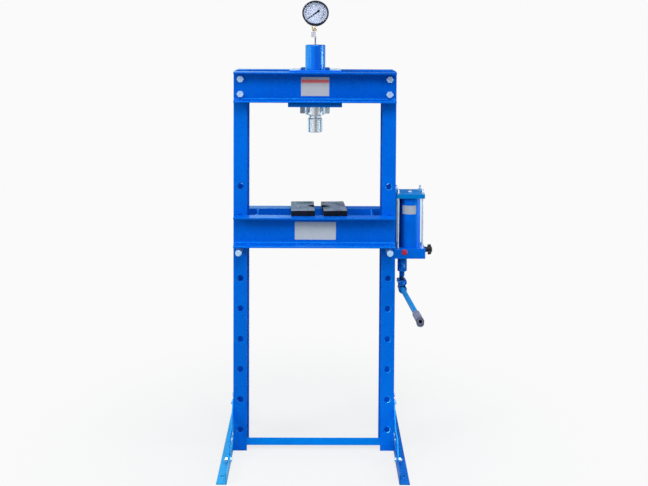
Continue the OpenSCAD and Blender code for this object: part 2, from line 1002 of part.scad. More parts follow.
// Plate on edge welded between the webs, saddle-shaped on top
module bed_spacer() {
    h = channel_h - 30;
    ear = 16;
    dip = 26;
    color(blue)
        translate([spacer_x, 0, bed_top - h])
            rotate([90, 0, 90])
                linear_extrude(spacer_t)
                    polygon([[-bed_y, 0], [bed_y, 0], [bed_y, h - 1], [bed_y - ear, h - 1],
                        [bed_y - ear - dip, h - dip], [-bed_y + ear + dip, h - dip], [-bed_y + ear, h - 1],
                        [-bed_y, h - 1]]);
}

module bed_spacer_right() {
    bed_spacer();
}

module bed_spacer_left() {
    mirror([1, 0, 0])
        bed_spacer();
}

// Round pin through both flanges of a post, chamfered at each end
module bed_pin() {
    r = pin_d / 2;
    c = 2;
    l = pin_len / 2;
    color(zinc)
        translate([hole_x, 0, pin_z])
            rotate([90, 0, 0])
                rotate_extrude()
                    polygon([[0, -l], [r - c, -l], [r, -l + c], [r, l - c], [r - c, l], [0, l]]);
}

module bed_pin_right() {
    bed_pin();
}

module bed_pin_left() {
    mirror([1, 0, 0])
        bed_pin();
}

// Plate with a V in the end that faces the other block, chamfered along its top
module v_block() {
    w = v_block_w;
    l = v_block_l / 2;
    c = v_chamfer;
    difference() {
        translate([-w / 2, l, 0])
            rotate([90, 0, 0])
                linear_extrude(2 * l)
                    polygon([[0, 0], [w, 0], [w, v_block_t - c], [w - c, v_block_t], [c, v_block_t],
                        [0, v_block_t - c]]);
        translate([0, 0, -eps])
            linear_extrude(v_block_t + 2 * eps)
                polygon([[w / 2 - v_notch, 0], [w / 2 + 1, -v_mouth / 2 - 1], [w / 2 + 1, v_mouth / 2 + 1]]);
    }
}

module v_block_left() {
    color(dark)
        translate([-48.7, 11, bed_top])
            rotate([0, 0, 2])
                v_block();
}

module v_block_right() {
    color(dark)
        translate([78.6, 12, bed_top])
            rotate([0, 0, 3.4])
                mirror([1, 0, 0])
                    v_block();
}

// ---------- pump ----------

module pump_block() {
    c = 2;
    w = block_w / 2;
    l = block_l / 2;
    color(blue)
        difference() {
            translate([pump_x, 0, block_z0])
                linear_extrude(block_h)
                    polygon([[-w, -l], [w - c, -l], [w, -l + c], [w, l - c], [w - c, l], [-w, l]]);
            for (sx = [-1, 1], sy = [-1, 1])
                translate([pump_x + sx * stud_x, sy * stud_y, block_top - rod_depth])
                    cylinder(d = rod_d + 2 * hair, h = rod_depth + eps);
            for (s = [-1, 1])
                translate([post_x, s * mount_bolt_y, mount_bolt_z])
                    rod_x(-eps, mount_depth, m10[0] + 2 * hair);
            translate([pump_x + w - 24, 0, knob_z])
                rod_x(0, 24 + eps, valve_d + 2 * hair);
            translate([cap_x, -l, cap_z])
                rod_y(-eps, 12, 14 + 2 * hair);
            translate([barrel_x, barrel_y, block_z0 - eps])
                cylinder(d = barrel_d - 8 + 2 * hair, h = spigot_top + eps);
            translate([pump_x, l, block_z0 + block_h / 2])
                rod_y(-16, eps, port_d - 2);
        }
}

module pump_tank() {
    color(blue)
        translate([pump_x, 0, block_top])
            difference() {
                cylinder(d = tank_d, h = tank_h);
                translate([0, 0, -eps])
                    cylinder(d = tank_d - 2 * tank_wall, h = tank_h + 2 * eps);
            }
}

module pump_top_plate() {
    color(blue)
        translate([pump_x, 0, tank_top])
            difference() {
                linear_extrude(top_plate_t)
                    difference() {
                        round_rect(top_plate_w, block_l, 4);
                        for (sx = [-1, 1], sy = [-1, 1])
                            translate([sx * stud_x, sy * stud_y])
                                circle(d = rod_d + 2 * bolt_gap);
                    }
                translate([0, 0, -eps])
                    cylinder(d = 10 + 2 * hair, h = top_plate_t + 2 * eps);
            }
}

module pump_tie_rods() {
    color(zinc)
        for (sx = [-1, 1], sy = [-1, 1])
            translate([pump_x + sx * stud_x, sy * stud_y, block_top - rod_depth + 1])
                cylinder(d = rod_d, h = tank_h + top_plate_t + rod_over + rod_depth - 1);
}

module pump_tie_nuts() {
    color(zinc)
        for (sx = [-1, 1], sy = [-1, 1])
            translate([pump_x + sx * stud_x, sy * stud_y, tank_top + top_plate_t])
                hex_nut(m8, m8[3]);
}

module filler_plug() {
    color(zinc)
        translate([pump_x, 0, tank_top + top_plate_t]) {
            cylinder(d = 20, h = 2);
            translate([0, 0, 2])
                hex_prism(14, 8);
            translate([0, 0, -top_plate_t + 2])
                cylinder(d = 10, h = top_plate_t);
        }
}

// Release valve: spindle, hub and star knob moulded on it
module release_knob() {
    face = post_x + block_w;
    lobes = 6;
    color(dark)
        translate([face, 0, knob_z]) {
            rod_x(-22, 2, valve_d);
            translate([free_gap, 0, 0])
                rotate([0, 90, 0])
                    rotate_extrude()
                        polygon([[0, 0], [11, 0], [12, 1], [10, 14.5], [14, 17], [14, 29], [9, 33], [0, 33]]);
            translate([free_gap + 16, 0, 0])
                rotate([0, 90, 0])
                    linear_extrude(12) {
                        circle(r = 14);
                        for (k = [0:lobes - 1])
                            rotate([0, 0, 360 * k / lobes])
                                translate([15, 0])
                                    circle(r = 6);
                    }
        }
}

module port_cap() {
    r = cap_d / 2;
    color([0.72, 0.10, 0.22])
        translate([cap_x, -block_l / 2, cap_z]) {
            rod_y(-0.1, 11, 14);
            rotate([90, 0, 0])
                rotate_extrude()
                    polygon([[0, 0], [r, 0], [r, 3.5], [r - 2, 5.5], [r - 4, 6], [0, 6]]);
        }
}

// Frame of the barrel and the lever: z as in the part, x across, -y towards the handle
module lever_side() {
    translate([barrel_x, barrel_y, 0])
        rotate([0, 0, handle_yaw])
            children();
}

// Pump barrel with its gland and the arm that carries the lever's fulcrum, one casting
module pump_barrel() {
    low = block_z0 - barrel_h;
    r = barrel_d / 2;
    arm_front = arm - eye_r;
    color(blue)
        lever_side()
            difference() {
                union() {
                    translate([0, 0, block_z0])
                        cylinder(d = barrel_d - 8, h = spigot_top);
                    translate([0, 0, low])
                        cylinder(d = barrel_d, h = barrel_h);
                    translate([0, 0, low - neck_h])
                        cylinder(d = gland_d, h = neck_h);
                    translate([-tongue_t / 2, 0, 0])
                        rotate([90, 0, 90])
                            linear_extrude(tongue_t) {
                                polygon([[r - 6, block_z0], [arm + eye_r, block_z0], [arm + eye_r, fulcrum_z],
                                    [arm_front, fulcrum_z], [arm_front, low + 8], [r - 6, low + 8]]);
                                translate([arm, fulcrum_z])
                                    circle(r = eye_r);
                            }
                }
                translate([0, 0, low - neck_h - eps])
                    cylinder(d = plunger_d + 2 * hair, h = neck_h + barrel_h + spigot_top - 4);
                translate([0, arm, fulcrum_z])
                    rod_x(-tongue_t, tongue_t, pin2_d + 2 * hair);
            }
}

// Plunger with a flat tongue whose slotted eye takes the lever's pin
module pump_plunger() {
    rod_len = barrel_h + neck_h + 6;
    color(steel)
        lever_side()
            difference() {
                union() {
                    translate([0, 0, plunger_z + eye_r - 3])
                        cylinder(d = plunger_d, h = rod_len - eye_r);
                    translate([-tongue_t / 2, 0, plunger_z])
                        rotate([90, 0, 90])
                            linear_extrude(tongue_t)
                                slot_2d(0, eye_run, eye_r);
                }
                translate([-tongue_t, 0, plunger_z])
                    rotate([90, 0, 90])
                        linear_extrude(2 * tongue_t)
                            slot_2d(0, eye_run, pin2_d / 2 + eye_gap);
            }
}

// Frame that turns with the lever: origin on the fulcrum
module lever_frame() {
    lever_side()
        translate([0, arm, fulcrum_z])
            rotate([-handle_rest, 0, 0])
                children();
}

// Fulcrum pin and plunger pin, both held by the lever's ears
module lever_pins() {
    color(zinc)
        lever_frame()
            for (y = [0, -arm])
                translate([0, y, 0])
                    rod_x(-ear_out - 1.5, ear_out + 1.5, pin2_d);
}

// Lever seen from the side: ears round both pins, front web above the socket
module lever_side_2d() {
    low = socket_z;
    polygon([[eye_r, 0], [eye_r, low + 6], [eye_r - 4, low], [-arm - 14, low], [-arm - 18, low + 8],
        [-web_front, web_low], [-web_front, web_high - 2], [-web_front + 3, web_high + 1],
        [-arm - 6, eye_r], [-arm, eye_r], [0, eye_r]]);
    circle(r = eye_r);
    translate([-arm, 0])
        circle(r = eye_r);
}

// Lever seen from the front: ears at the top, a waist and the top of the socket
module lever_front_2d() {
    w = waist_w / 2;
    top = eye_r + 1;
    polygon([[-w, socket_z], [w, socket_z], [w, web_low + 3], [ear_out, -pin2_d / 2 - 1], [ear_out, web_high],
        [ear_out - 2, top], [-ear_out + 2, top], [-ear_out, web_high], [-ear_out, -pin2_d / 2 - 1],
        [-w, web_low + 3]]);
}

// Forked lever, closed in front, that ends in a flared socket for the handle tube
module lever_socket() {
    gap_floor = socket_z + handle_d / 2 + 3;
    bore = handle_d + 2 * hair;
    color(blue)
        lever_frame()
            difference() {
                union() {
                    intersection() {
                        translate([-2 * ear_out, 0, 0])
                            rotate([90, 0, 90])
                                linear_extrude(4 * ear_out)
                                    lever_side_2d();
                        translate([0, 2 * arm, 0])
                            rotate([90, 0, 0])
                                linear_extrude(5 * arm)
                                    lever_front_2d();
                    }
                    translate([0, 0, socket_z])
                        rotate([90, 0, 0])
                            rotate_extrude()
                                polygon([[0, -8], [socket_d / 2 - 2, -8], [socket_d / 2, -6],
                                    [socket_d / 2, -socket_front - 16], [socket_flare_d / 2, -socket_front - 6],
                                    [socket_flare_d / 2, -socket_front], [0, -socket_front]]);
                }
                translate([-ear_in, -web_back, gap_floor])
                    cube([2 * ear_in, 4 * arm, 3 * eye_r]);
                translate([-bore / 2, 2 * socket_front, socket_z])
                    cube([bore, -2 * socket_front - arm - 6, web_low - socket_z]);
                translate([0, 0, socket_z])
                    rod_y(2 * socket_front, tube_in, bore);
                for (y = [0, -arm])
                    translate([0, y, 0])
                        rod_x(-2 * ear_out, 2 * ear_out, pin2_d + 2 * hair);
            }
}

module handle_tube() {
    color(blue)
        lever_frame()
            translate([0, 0, socket_z])
                difference() {
                    rod_y(-handle_len + 6, tube_in - 0.5, handle_d);
                    rod_y(-handle_len, tube_in, handle_d - 2 * tube_wall);
                }
}

// Moulded grip: grooves all round, a stop that hangs from its end, a ring round the hanging hole
module handle_grip() {
    r = grip_d / 2;
    grooves = 6;
    pitch = 13;
    stop_r = r - 1;
    color([0.45, 0.47, 0.50])
        lever_frame()
            translate([0, -handle_len, socket_z])
                rotate([-90, 0, 0])
                    difference() {
                        union() {
                            rotate_extrude()
                                polygon(concat([[0, 0], [r - 3, 0]], arc([r - 3, 3], 3, -90, 0, 4),
                                    [for (k = [0:grooves - 1]) each [[r, 20 + k * pitch], [r - 1.2, 21 + k * pitch],
                                        [r - 1.2, 23 + k * pitch], [r, 24 + k * pitch]]],
                                    [[r, grip_l - 8], [r - 2, grip_l], [0, grip_l]]));
                            translate([0, 0, 0.6])
                                linear_extrude(11)
                                    polygon([[-stop_r, 0], [stop_r, 0], [stop_r, r - 5], [stop_r - 2.5, r + 1.5],
                                        [stop_r - 7, r + 5], [7 - stop_r, r + 5], [2.5 - stop_r, r + 1.5],
                                        [-stop_r, r - 5]]);
                        }
                        translate([0, 0, 6 - free_gap])
                            cylinder(d = handle_d + 2 * hair, h = grip_l);
                        translate([0, 0, -eps])
                            cylinder(d = 7, h = 10);
                        translate([0, 0, -eps])
                            difference() {
                                cylinder(r = 8.6, h = eps + 1.2);
                                cylinder(r = 6.4, h = eps + 2);
                            }
                    }
}

post_left();
post_right();
foot_left();
foot_right();
brace_front_left();
brace_front_right();
brace_rear_left();
brace_rear_right();
lower_crossbar();
top_channel_front();
top_channel_rear();
head_plate();
upper_plate();
beam_bolts();
frame_bolts();
frame_nuts();
tie_bolts();
tie_nuts();
bed_channel_front();
bed_channel_rear();
bed_spacer_left();
bed_spacer_right();
bed_pin_left();
bed_pin_right();
v_block_left();
v_block_right();
cylinder_body();
gland_bush();
lock_collar();
collar_set_screw();
rod_wiper();
ram();
piston_seal();
ram_head();
return_spring();
hose_adapters();
gauge_stem();
gauge_coupler();
gauge_elbow();
gauge_movement();
gauge_case();
gauge_plug();
gauge_bezel();
gauge_dial();
gauge_pointer();
gauge_glass();
pump_block();
pump_tank();
pump_top_plate();
pump_tie_rods();
pump_tie_nuts();
filler_plug();
release_knob();
port_cap();
pump_barrel();
pump_plunger();
lever_pins();
lever_socket();
handle_tube();
handle_grip();
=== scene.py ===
import bpy
import json
import math
from mathutils import Matrix, Vector


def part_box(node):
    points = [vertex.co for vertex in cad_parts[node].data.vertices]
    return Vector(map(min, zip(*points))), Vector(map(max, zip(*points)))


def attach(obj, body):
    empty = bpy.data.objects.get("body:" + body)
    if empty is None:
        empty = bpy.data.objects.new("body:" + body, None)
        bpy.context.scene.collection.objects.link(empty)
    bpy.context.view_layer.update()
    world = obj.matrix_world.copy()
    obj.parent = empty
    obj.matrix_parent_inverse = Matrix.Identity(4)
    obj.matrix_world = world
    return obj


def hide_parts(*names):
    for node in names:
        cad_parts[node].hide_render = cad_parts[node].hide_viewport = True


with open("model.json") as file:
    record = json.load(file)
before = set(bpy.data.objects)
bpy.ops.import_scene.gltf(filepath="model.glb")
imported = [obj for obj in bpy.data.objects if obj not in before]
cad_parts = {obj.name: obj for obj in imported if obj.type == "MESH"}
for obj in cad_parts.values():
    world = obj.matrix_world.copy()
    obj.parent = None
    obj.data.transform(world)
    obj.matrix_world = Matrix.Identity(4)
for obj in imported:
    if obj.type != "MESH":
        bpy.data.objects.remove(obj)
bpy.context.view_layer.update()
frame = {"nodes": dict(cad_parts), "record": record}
NODES = frame["nodes"]
RECORD = frame["record"]
BODY_OF = {n: b for b, ns in RECORD["behaviour"]["bodies"].items() for n in ns}
SLOT_OF = {s["node"]: s["material_slot"] for s in RECORD["subparts"]}
MM = 0.001


# ---------- sizes taken from the frame, in mm ----------

def corners(node):
    """A CAD node's lowest and highest corner, in mm."""
    low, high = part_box(node)
    return low / MM, high / MM


POST_LOW, POST_HIGH = corners("post_right")
PIN_LOW, PIN_HIGH = corners("bed_pin_right")
BEAM_LOW, BEAM_HIGH = corners("top_channel_front")
BED_LOW, BED_HIGH = corners("bed_channel_front")
SPACER_LOW, SPACER_HIGH = corners("bed_spacer_right")
BLOCK_LOW, BLOCK_HIGH = corners("pump_block")
CROSSBAR_HIGH = corners("lower_crossbar")[1]
TANK_HIGH = corners("pump_tank")[1]
POST_X = (POST_LOW.x + POST_HIGH.x) / 2
BEAM_Z = (BEAM_LOW.z + BEAM_HIGH.z) / 2
BED_Z = (BED_LOW.z + BED_HIGH.z) / 2
PUMP_X = (BLOCK_LOW.x + BLOCK_HIGH.x) / 2
TIE_NUT_TOP = corners("pump_tie_nuts")[1].z
TIE_ROD_TOP = corners("pump_tie_rods")[1].z
JOINTS = {j["name"]: j for j in RECORD["behaviour"]["joints"]}
MOUNTS = {m["name"]: m for m in RECORD["mounts"]}
HOLE_PITCH = JOINTS["bed_lift"]["range_m"][1] / MM
FLOOR_BOLTS = MOUNTS["floor_bolts"]["dims"]
WEB = 6.0    # thickness of the channels' webs
SIDES = ((-1, "left"), (1, "right"))


# ---------- colours and materials ----------

def lin(r, g, b):
    """sRGB 0-255 to linear."""
    out = []
    for v in (r, g, b):
        v /= 255.0
        out.append(v / 12.92 if v <= 0.04045 else ((v + 0.055) / 1.055) ** 2.4)
    return tuple(out) + (1.0,)


def scale_rgb(c, k):
    """Colour c made k times as bright."""
    return (c[0] * k, c[1] * k, c[2] * k, 1.0)


class Tree:
    """The emptied node tree of a material or a world, with short ways to add nodes."""

    def __init__(self, owner, output="ShaderNodeOutputMaterial"):
        owner.use_nodes = True
        self.nodes = owner.node_tree.nodes
        self.links = owner.node_tree.links
        self.nodes.clear()
        self.out = self.add(output)

    def put(self, socket, value):
        """Link a socket to a node's output, or set it to a constant."""
        if isinstance(value, bpy.types.NodeSocket):
            self.links.new(value, socket)
        else:
            socket.default_value = value

    def add(self, kind, **inputs):
        """A new node with its named inputs linked or set."""
        node = self.nodes.new(kind)
        for name, value in inputs.items():
            self.put(node.inputs[name], value)
        return node

    def work(self, kind, operation, values):
        """The outputs of a Math or VectorMath node."""
        node = self.nodes.new(kind)
        node.operation = operation
        for socket, value in zip(node.inputs, values):
            self.put(socket, value)
        return node.outputs

    def math(self, operation, *values):
        """The result of a Math node."""
        return self.work("ShaderNodeMath", operation, values)[0]

    def vector(self, operation, *values):
        """The outputs of a VectorMath node: its Vector and its Value."""
        return self.work("ShaderNodeVectorMath", operation, values)

    def times(self, first, *others):
        """All of these multiplied."""
        for other in others:
            first = self.math("MULTIPLY", first, other)
        return first

    def place(self):
        """The point's place in the frame, in metres."""
        return self.add("ShaderNodeTexCoord").outputs["Object"]

    def split(self, vector):
        """The x, y and z of a vector."""
        return self.add("ShaderNodeSeparateXYZ", Vector=vector).outputs

    def facing(self):
        """The x, y and z of the surface's normal."""
        return self.split(self.add("ShaderNodeNewGeometry").outputs["Normal"])

    def noise(self, scale, detail=3.0, rough=0.55, stretch=(1, 1, 1)):
        """Noise from 0 to 1 over the object, stretched along an axis if asked."""
        place = self.add("ShaderNodeMapping", Scale=stretch, Vector=self.place()).outputs["Vector"]
        node = self.add("ShaderNodeTexNoise", Scale=scale, Detail=detail, Roughness=rough, Vector=place)
        return node.outputs["Fac"]

    def ramp(self, factor, stops):
        """Colour by factor, through (position, colour) stops."""
        node = self.add("ShaderNodeValToRGB", Fac=factor)
        points = node.color_ramp.elements
        while len(points) > 1:
            points.remove(points[-1])
        points[0].position, points[0].color = stops[0]
        for position, color in stops[1:]:
            points.new(position).color = color
        return node.outputs["Color"]

    def span(self, value, low, high, start, end, smooth=False):
        """The value carried from low..high to start..end, and held there outside them."""
        ends = {"From Min": low, "From Max": high, "To Min": start, "To Max": end}
        node = self.add("ShaderNodeMapRange", Value=value, **ends)
        if smooth:
            node.interpolation_type = "SMOOTHSTEP"
        return node.outputs["Result"]

    def mix(self, factor, a, b):
        """Colour a turning into colour b."""
        node = self.nodes.new("ShaderNodeMix")
        node.data_type = "RGBA"
        sockets = [s for s in node.inputs if s.name == "Factor" and s.type == "VALUE"][:1]
        sockets += [s for s in node.inputs if s.type == "RGBA"]
        for socket, value in zip(sockets, (factor, a, b)):
            self.put(socket, value)
        return [s for s in node.outputs if s.type == "RGBA"][0]

    def mix_shader(self, factor, a, b):
        """Shader a turning into shader b."""
        node = self.nodes.new("ShaderNodeMixShader")
        for socket, value in zip(node.inputs, (factor, a, b)):
            self.put(socket, value)
        return node.outputs[0]

    def edges(self, radius):
        """(rounded normal, mask that is 1 on sharp edges); the radius is in mm."""
        bevel = self.add("ShaderNodeBevel", Radius=radius * MM)
        bevel.samples = 6
        flat = self.add("ShaderNodeNewGeometry").outputs["Normal"]
        rounded = bevel.outputs["Normal"]
        return rounded, self.span(self.vector("DOT_PRODUCT", rounded, flat)["Value"], 0.995, 0.80, 0.0, 1.0)

    def bump(self, height, distance, strength, normal=None):
        """A normal tilted by a height, on top of another normal if given."""
        node = self.add("ShaderNodeBump", Height=height, Distance=distance, Strength=strength)
        if normal is not None:
            self.put(node.inputs["Normal"], normal)
        return node.outputs["Normal"]


class Mat(Tree):
    """A Principled material whose colour, roughness and normal are procedural."""

    def __init__(self, name, base, rough, metallic=0.0, **constants):
        self.material = bpy.data.materials.new(name)
        super().__init__(self.material)
        self.shader = self.add("ShaderNodeBsdfPrincipled", Roughness=rough, Metallic=metallic, **constants)
        self.put(self.shader.inputs["Base Color"], base)
        self.put(self.out.inputs["Surface"], self.shader.outputs["BSDF"])
        self.material.diffuse_color = base

    def finish(self, color=None, rough=None, normal=None):
        """The material, with what is given linked to its shader."""
        for name, value in (("Base Color", color), ("Roughness", rough), ("Normal", normal)):
            if value is not None:
                self.put(self.shader.inputs[name], value)
        return self.material


PLAIN = (1, 1, 1, 1)
BLUE = (0.0, 0.118, 0.67, 1.0)
TINT = (0.05, 0.90, 1.0, 1.0)


def thin_paint(m, edge, wear):
    """Mask of the sharp edges, in patches, where the paint is thin."""
    patch = m.span(m.noise(150.0, 4.0, 0.6), 0.40, 0.60, 0.85, 1.0)
    return m.times(edge, patch, wear)


def paint_skin(m, normal, peel, wave, cast=0.0):
    """Normal of painted metal: orange peel, a cast skin if asked, and slow waves."""
    n = m.bump(m.noise(420.0, 2.0, 0.5), 0.0004, peel, normal)
    if cast:
        n = m.bump(m.noise(130.0, 4.0, 0.6), 0.0012, cast, n)
    return m.bump(m.noise(9.0, 1.0, 0.4), 0.004, wave, n)


def enamel(name, color, rough=0.26, edge_radius=1.2, wear=0.5, peel=0.03, spec=0.5, cast=0.0,
           tint=TINT, glints_and_specks=0.0, shade=None):
    """Gloss enamel: slight mottling, orange peel, thin edges; pale specks of painted glint among dark
    specks, cast skin or shading if asked.
    """
    m = Mat(name, color, rough, **{"Specular IOR Level": spec, "Specular Tint": tint})
    normal, edge = m.edges(edge_radius)
    mottle = m.span(m.noise(5.0, 4.0), 0.3, 0.7, 0.0, 1.0)
    tone = m.mix(mottle, scale_rgb(color, 0.92), scale_rgb(color, 1.05))
    light = (color[0] + 0.02, min(1, color[1] * 2.0 + 0.10), min(1, color[2] * 0.95 + 0.06), 1.0)
    tone = m.mix(thin_paint(m, edge, wear), tone, light)
    # Pale specks are painted glints; dark specks darken the paint between them.
    if glints_and_specks:
        spot = m.noise(105.0, 2.0, 0.5)
        tone = m.mix(m.span(spot, 0.58, 0.66, 0.0, glints_and_specks), tone, lin(104, 160, 222))
        tone = m.mix(m.span(spot, 0.44, 0.34, 0.0, glints_and_specks), tone, lin(0, 26, 96))
    if shade:
        tone = shade(m, tone)
    r = m.span(m.noise(22.0, 6.0, 0.6), 0.3, 0.75, rough - 0.06, rough + 0.10)
    return m.finish(tone, r, paint_skin(m, normal, peel, 0.004, cast))


def graded_enamel(name, stops, tint):
    """Gloss enamel whose colour changes from left to right, painted shade and painted highlight: (place
    along X in mm, colour) stops.
    """
    m = Mat(name, BLUE, 0.17, **{"Specular IOR Level": 0.5, "Specular Tint": tint})
    normal, edge = m.edges(1.2)
    first, last = stops[0][0], stops[-1][0]
    across = m.span(m.split(m.place())["X"], first * MM, last * MM, 0.0, 1.0)
    tone = m.ramp(across, [((x - first) / (last - first), c + (1.0,)) for x, c in stops])
    tone = m.mix(thin_paint(m, edge, 0.5), tone, (0.02, 0.336, 0.70, 1.0))
    r = m.span(m.noise(22.0, 6.0, 0.6), 0.3, 0.75, 0.11, 0.27)
    return m.finish(tone, r, paint_skin(m, normal, 0.05, 0.012))


def metal(name, color, rough, stretch=(1, 1, 1), grain=300.0, stain=0.15, grain_bump=0.12,
          metallic=1.0, dark=None):
    """Bare or plated metal: directional grain, faint stains, brighter rubbed edges."""
    m = Mat(name, color, rough, metallic)
    normal, edge = m.edges(0.5)
    g = m.noise(grain, 4.0, 0.6, stretch)
    blot = m.noise(28.0, 5.0, 0.6)
    tone = m.mix(m.span(blot, 0.35, 0.7, 0.0, stain), color, dark or scale_rgb(color, 0.55))
    tone = m.mix(m.span(g, 0.3, 0.7, 0.0, 0.18), tone, scale_rgb(color, 0.78))
    tone = m.mix(m.times(edge, 0.5), tone, (0.9, 0.9, 0.9, 1))
    r = m.span(g, 0.25, 0.75, max(0.02, rough - 0.06), rough + 0.10)
    return m.finish(tone, r, m.bump(g, 0.0002, grain_bump, normal))


def plastic(name, color, rough=0.45, bump=0.08, scuff=0.35, spec=0.45):
    """Moulded plastic, rubber or print: fine grain, pale scuffs and edges."""
    m = Mat(name, color, rough, **{"Specular IOR Level": spec})
    normal, edge = m.edges(0.6)
    blot = m.noise(45.0, 5.0, 0.65)
    tone = m.mix(m.span(blot, 0.4, 0.75, 0.0, scuff), color, scale_rgb(color, 1.6))
    tone = m.mix(m.times(edge, 0.35), tone, scale_rgb(color, 2.0))
    r = m.span(blot, 0.3, 0.7, rough - 0.06, rough + 0.12)
    return m.finish(tone, r, m.bump(m.noise(900.0, 2.0, 0.5), 0.0003, bump, normal))


def v_block_steel():
    """Phosphated flame-cut steel: brown-grey mottled faces, rubbed top, dark sawn sides."""
    m = Mat("phosphated", lin(70, 66, 68), 0.45, 0.7)
    normal, edge = m.edges(1.0)
    blot = m.noise(14.0, 6.0, 0.62)
    fine = m.noise(160.0, 4.0, 0.6, (1, 0.12, 1))
    top = m.ramp(blot, [(0.28, lin(86, 96, 108)), (0.42, lin(140, 148, 172)), (0.54, lin(190, 192, 216)),
                        (0.64, lin(168, 150, 142)), (0.74, lin(112, 128, 140))])
    side = m.ramp(blot, [(0.3, lin(4, 8, 20)), (0.7, lin(24, 28, 42))])
    up = m.span(m.facing()["Z"], 0.55, 0.9, 0.0, 1.0)
    tone = m.mix(up, side, top)
    tone = m.mix(m.times(edge, 0.4), tone, lin(150, 150, 155))
    tone = m.mix(m.span(fine, 0.45, 0.75, 0.0, 0.35), tone, lin(44, 46, 54))
    r = m.span(fine, 0.3, 0.7, 0.34, 0.52)
    return m.finish(tone, r, m.bump(fine, 0.0003, 0.25, normal))


def dial_face():
    """Printed white dial, very slightly uneven."""
    m = Mat("dial_enamel", lin(190, 202, 230), 0.55, **{"Specular IOR Level": 0.2})
    blot = m.noise(60.0, 3.0)
    tone = m.mix(m.span(blot, 0.35, 0.7, 0.0, 1.0), lin(184, 196, 226), lin(198, 208, 234))
    return m.finish(tone, m.span(blot, 0.3, 0.7, 0.3, 0.42), m.bump(m.noise(500.0), 0.0002, 0.03))


def glass():
    """Flat clear glass, seen mostly by what it reflects."""
    m = Mat("glass_flat", (0.03, 0.04, 0.06, 1), 0.05, **{"IOR": 1.5, "Alpha": 0.10})
    streak = m.noise(9.0, 3.0)
    return m.finish(None, m.span(streak, 0.3, 0.7, 0.02, 0.06), m.bump(streak, 0.0005, 0.02))


def grip_end():
    """Centre of the grip's end face in metres: the handle's reach, turned as the lever lies at rest."""
    reach, drop, lift = -537, -27, math.radians(-4)
    pivot, axis = JOINTS["lever_pivot"]["pos_m"], JOINTS["lever_pivot"]["axis"]
    yaw = math.atan2(-axis[1], -axis[0])
    y = reach * math.cos(lift) - drop * math.sin(lift)
    z = reach * math.sin(lift) + drop * math.cos(lift)
    return Vector(pivot) + Vector((-y * math.sin(yaw), y * math.cos(yaw), z)) * MM


def grip_material():
    """Scuffed rubber; round its end face a dark edge, a pale ring and the bore, painted dark as painted
    shade.
    """
    m = Mat("grip", lin(118, 122, 132), 0.55, **{"Specular IOR Level": 0.35})
    normal, edge = m.edges(0.7)
    blot = m.noise(30.0, 6.0, 0.65)
    tone = m.mix(m.span(blot, 0.35, 0.68, 0.0, 1.0), lin(124, 130, 156), lin(84, 90, 112))
    tone = m.mix(m.times(edge, 0.5), tone, lin(160, 165, 175))
    away = m.vector("DISTANCE", m.place(), grip_end())["Value"]
    # The innermost, darkest disc is the bore's painted shade.
    for inner, outer, strength, color in ((15.0, 16.5, 0.75, lin(58, 60, 82)),
                                          (9.8, 10.8, 1.0, lin(128, 130, 152)),
                                          (6.2, 7.4, 1.0, lin(8, 12, 26))):
        tone = m.mix(m.span(away, inner * MM, outer * MM, strength, 0.0), tone, color)
    r = m.span(blot, 0.3, 0.7, 0.45, 0.65)
    return m.finish(tone, r, m.bump(m.noise(600.0, 3.0, 0.6), 0.0004, 0.15, normal))


def pin_steel():
    """Plated pin: its ends painted lighter as painted highlight, its drawn side painted darker as painted
    shade.
    """
    m = Mat("pin_plated", lin(190, 222, 252), 0.34, 0.35)
    normal = m.edges(0.8)[0]
    blot = m.noise(60.0, 4.0, 0.6)
    drawn = m.noise(260.0, 4.0, 0.6, (1, 0.04, 1))
    face = m.mix(m.span(blot, 0.35, 0.7, 0.0, 0.45), lin(206, 232, 255), lin(140, 180, 226))
    side = m.mix(m.span(drawn, 0.3, 0.7, 0.0, 0.5), lin(70, 104, 160), lin(30, 58, 112))
    end = m.span(m.math("ABSOLUTE", m.facing()["Y"]), 0.6, 0.8, 0.0, 1.0)
    # Painted highlight on the ends, painted shade on the side.
    tone = m.mix(end, side, face)
    return m.finish(tone, m.span(drawn, 0.3, 0.7, 0.28, 0.44), m.bump(drawn, 0.0002, 0.1, normal))


def plate_paint():
    """Blue plate whose top is painted pale behind the front flange, in two patches beside the cylinder: a
    painted reflection of the white backdrop.
    """
    m = Mat("enamel_plate", BLUE, 0.3, **{"Specular IOR Level": 0.5, "Specular Tint": (0.3, 0.95, 1, 1)})
    normal, edge = m.edges(0.8)
    flange_y, plain_y = -55 * MM, -35 * MM
    middle_x, reflection_from, reflection_to = 6 * MM, 44 * MM, 50 * MM
    x, y, _ = m.split(m.place())
    speck = m.noise(110.0, 5.0, 0.7)
    back = m.span(y, flange_y, plain_y, 0.0, 1.0)
    from_middle = m.math("ABSOLUTE", m.math("SUBTRACT", x, middle_x))
    beside = m.span(from_middle, reflection_from, reflection_to, 0.0, 1.0)
    painted_reflection = m.times(back, beside, m.span(speck, 0.36, 0.52, 0.25, 1.0))
    # Painted highlight along the plate's edges; painted reflection on its top beside the cylinder.
    tone = m.mix(m.times(edge, 0.5), BLUE, lin(60, 150, 228))
    tone = m.mix(painted_reflection, tone, lin(206, 226, 238))
    return m.finish(tone, m.span(speck, 0.3, 0.7, 0.26, 0.4), m.bump(speck, 0.0003, 0.1, normal))


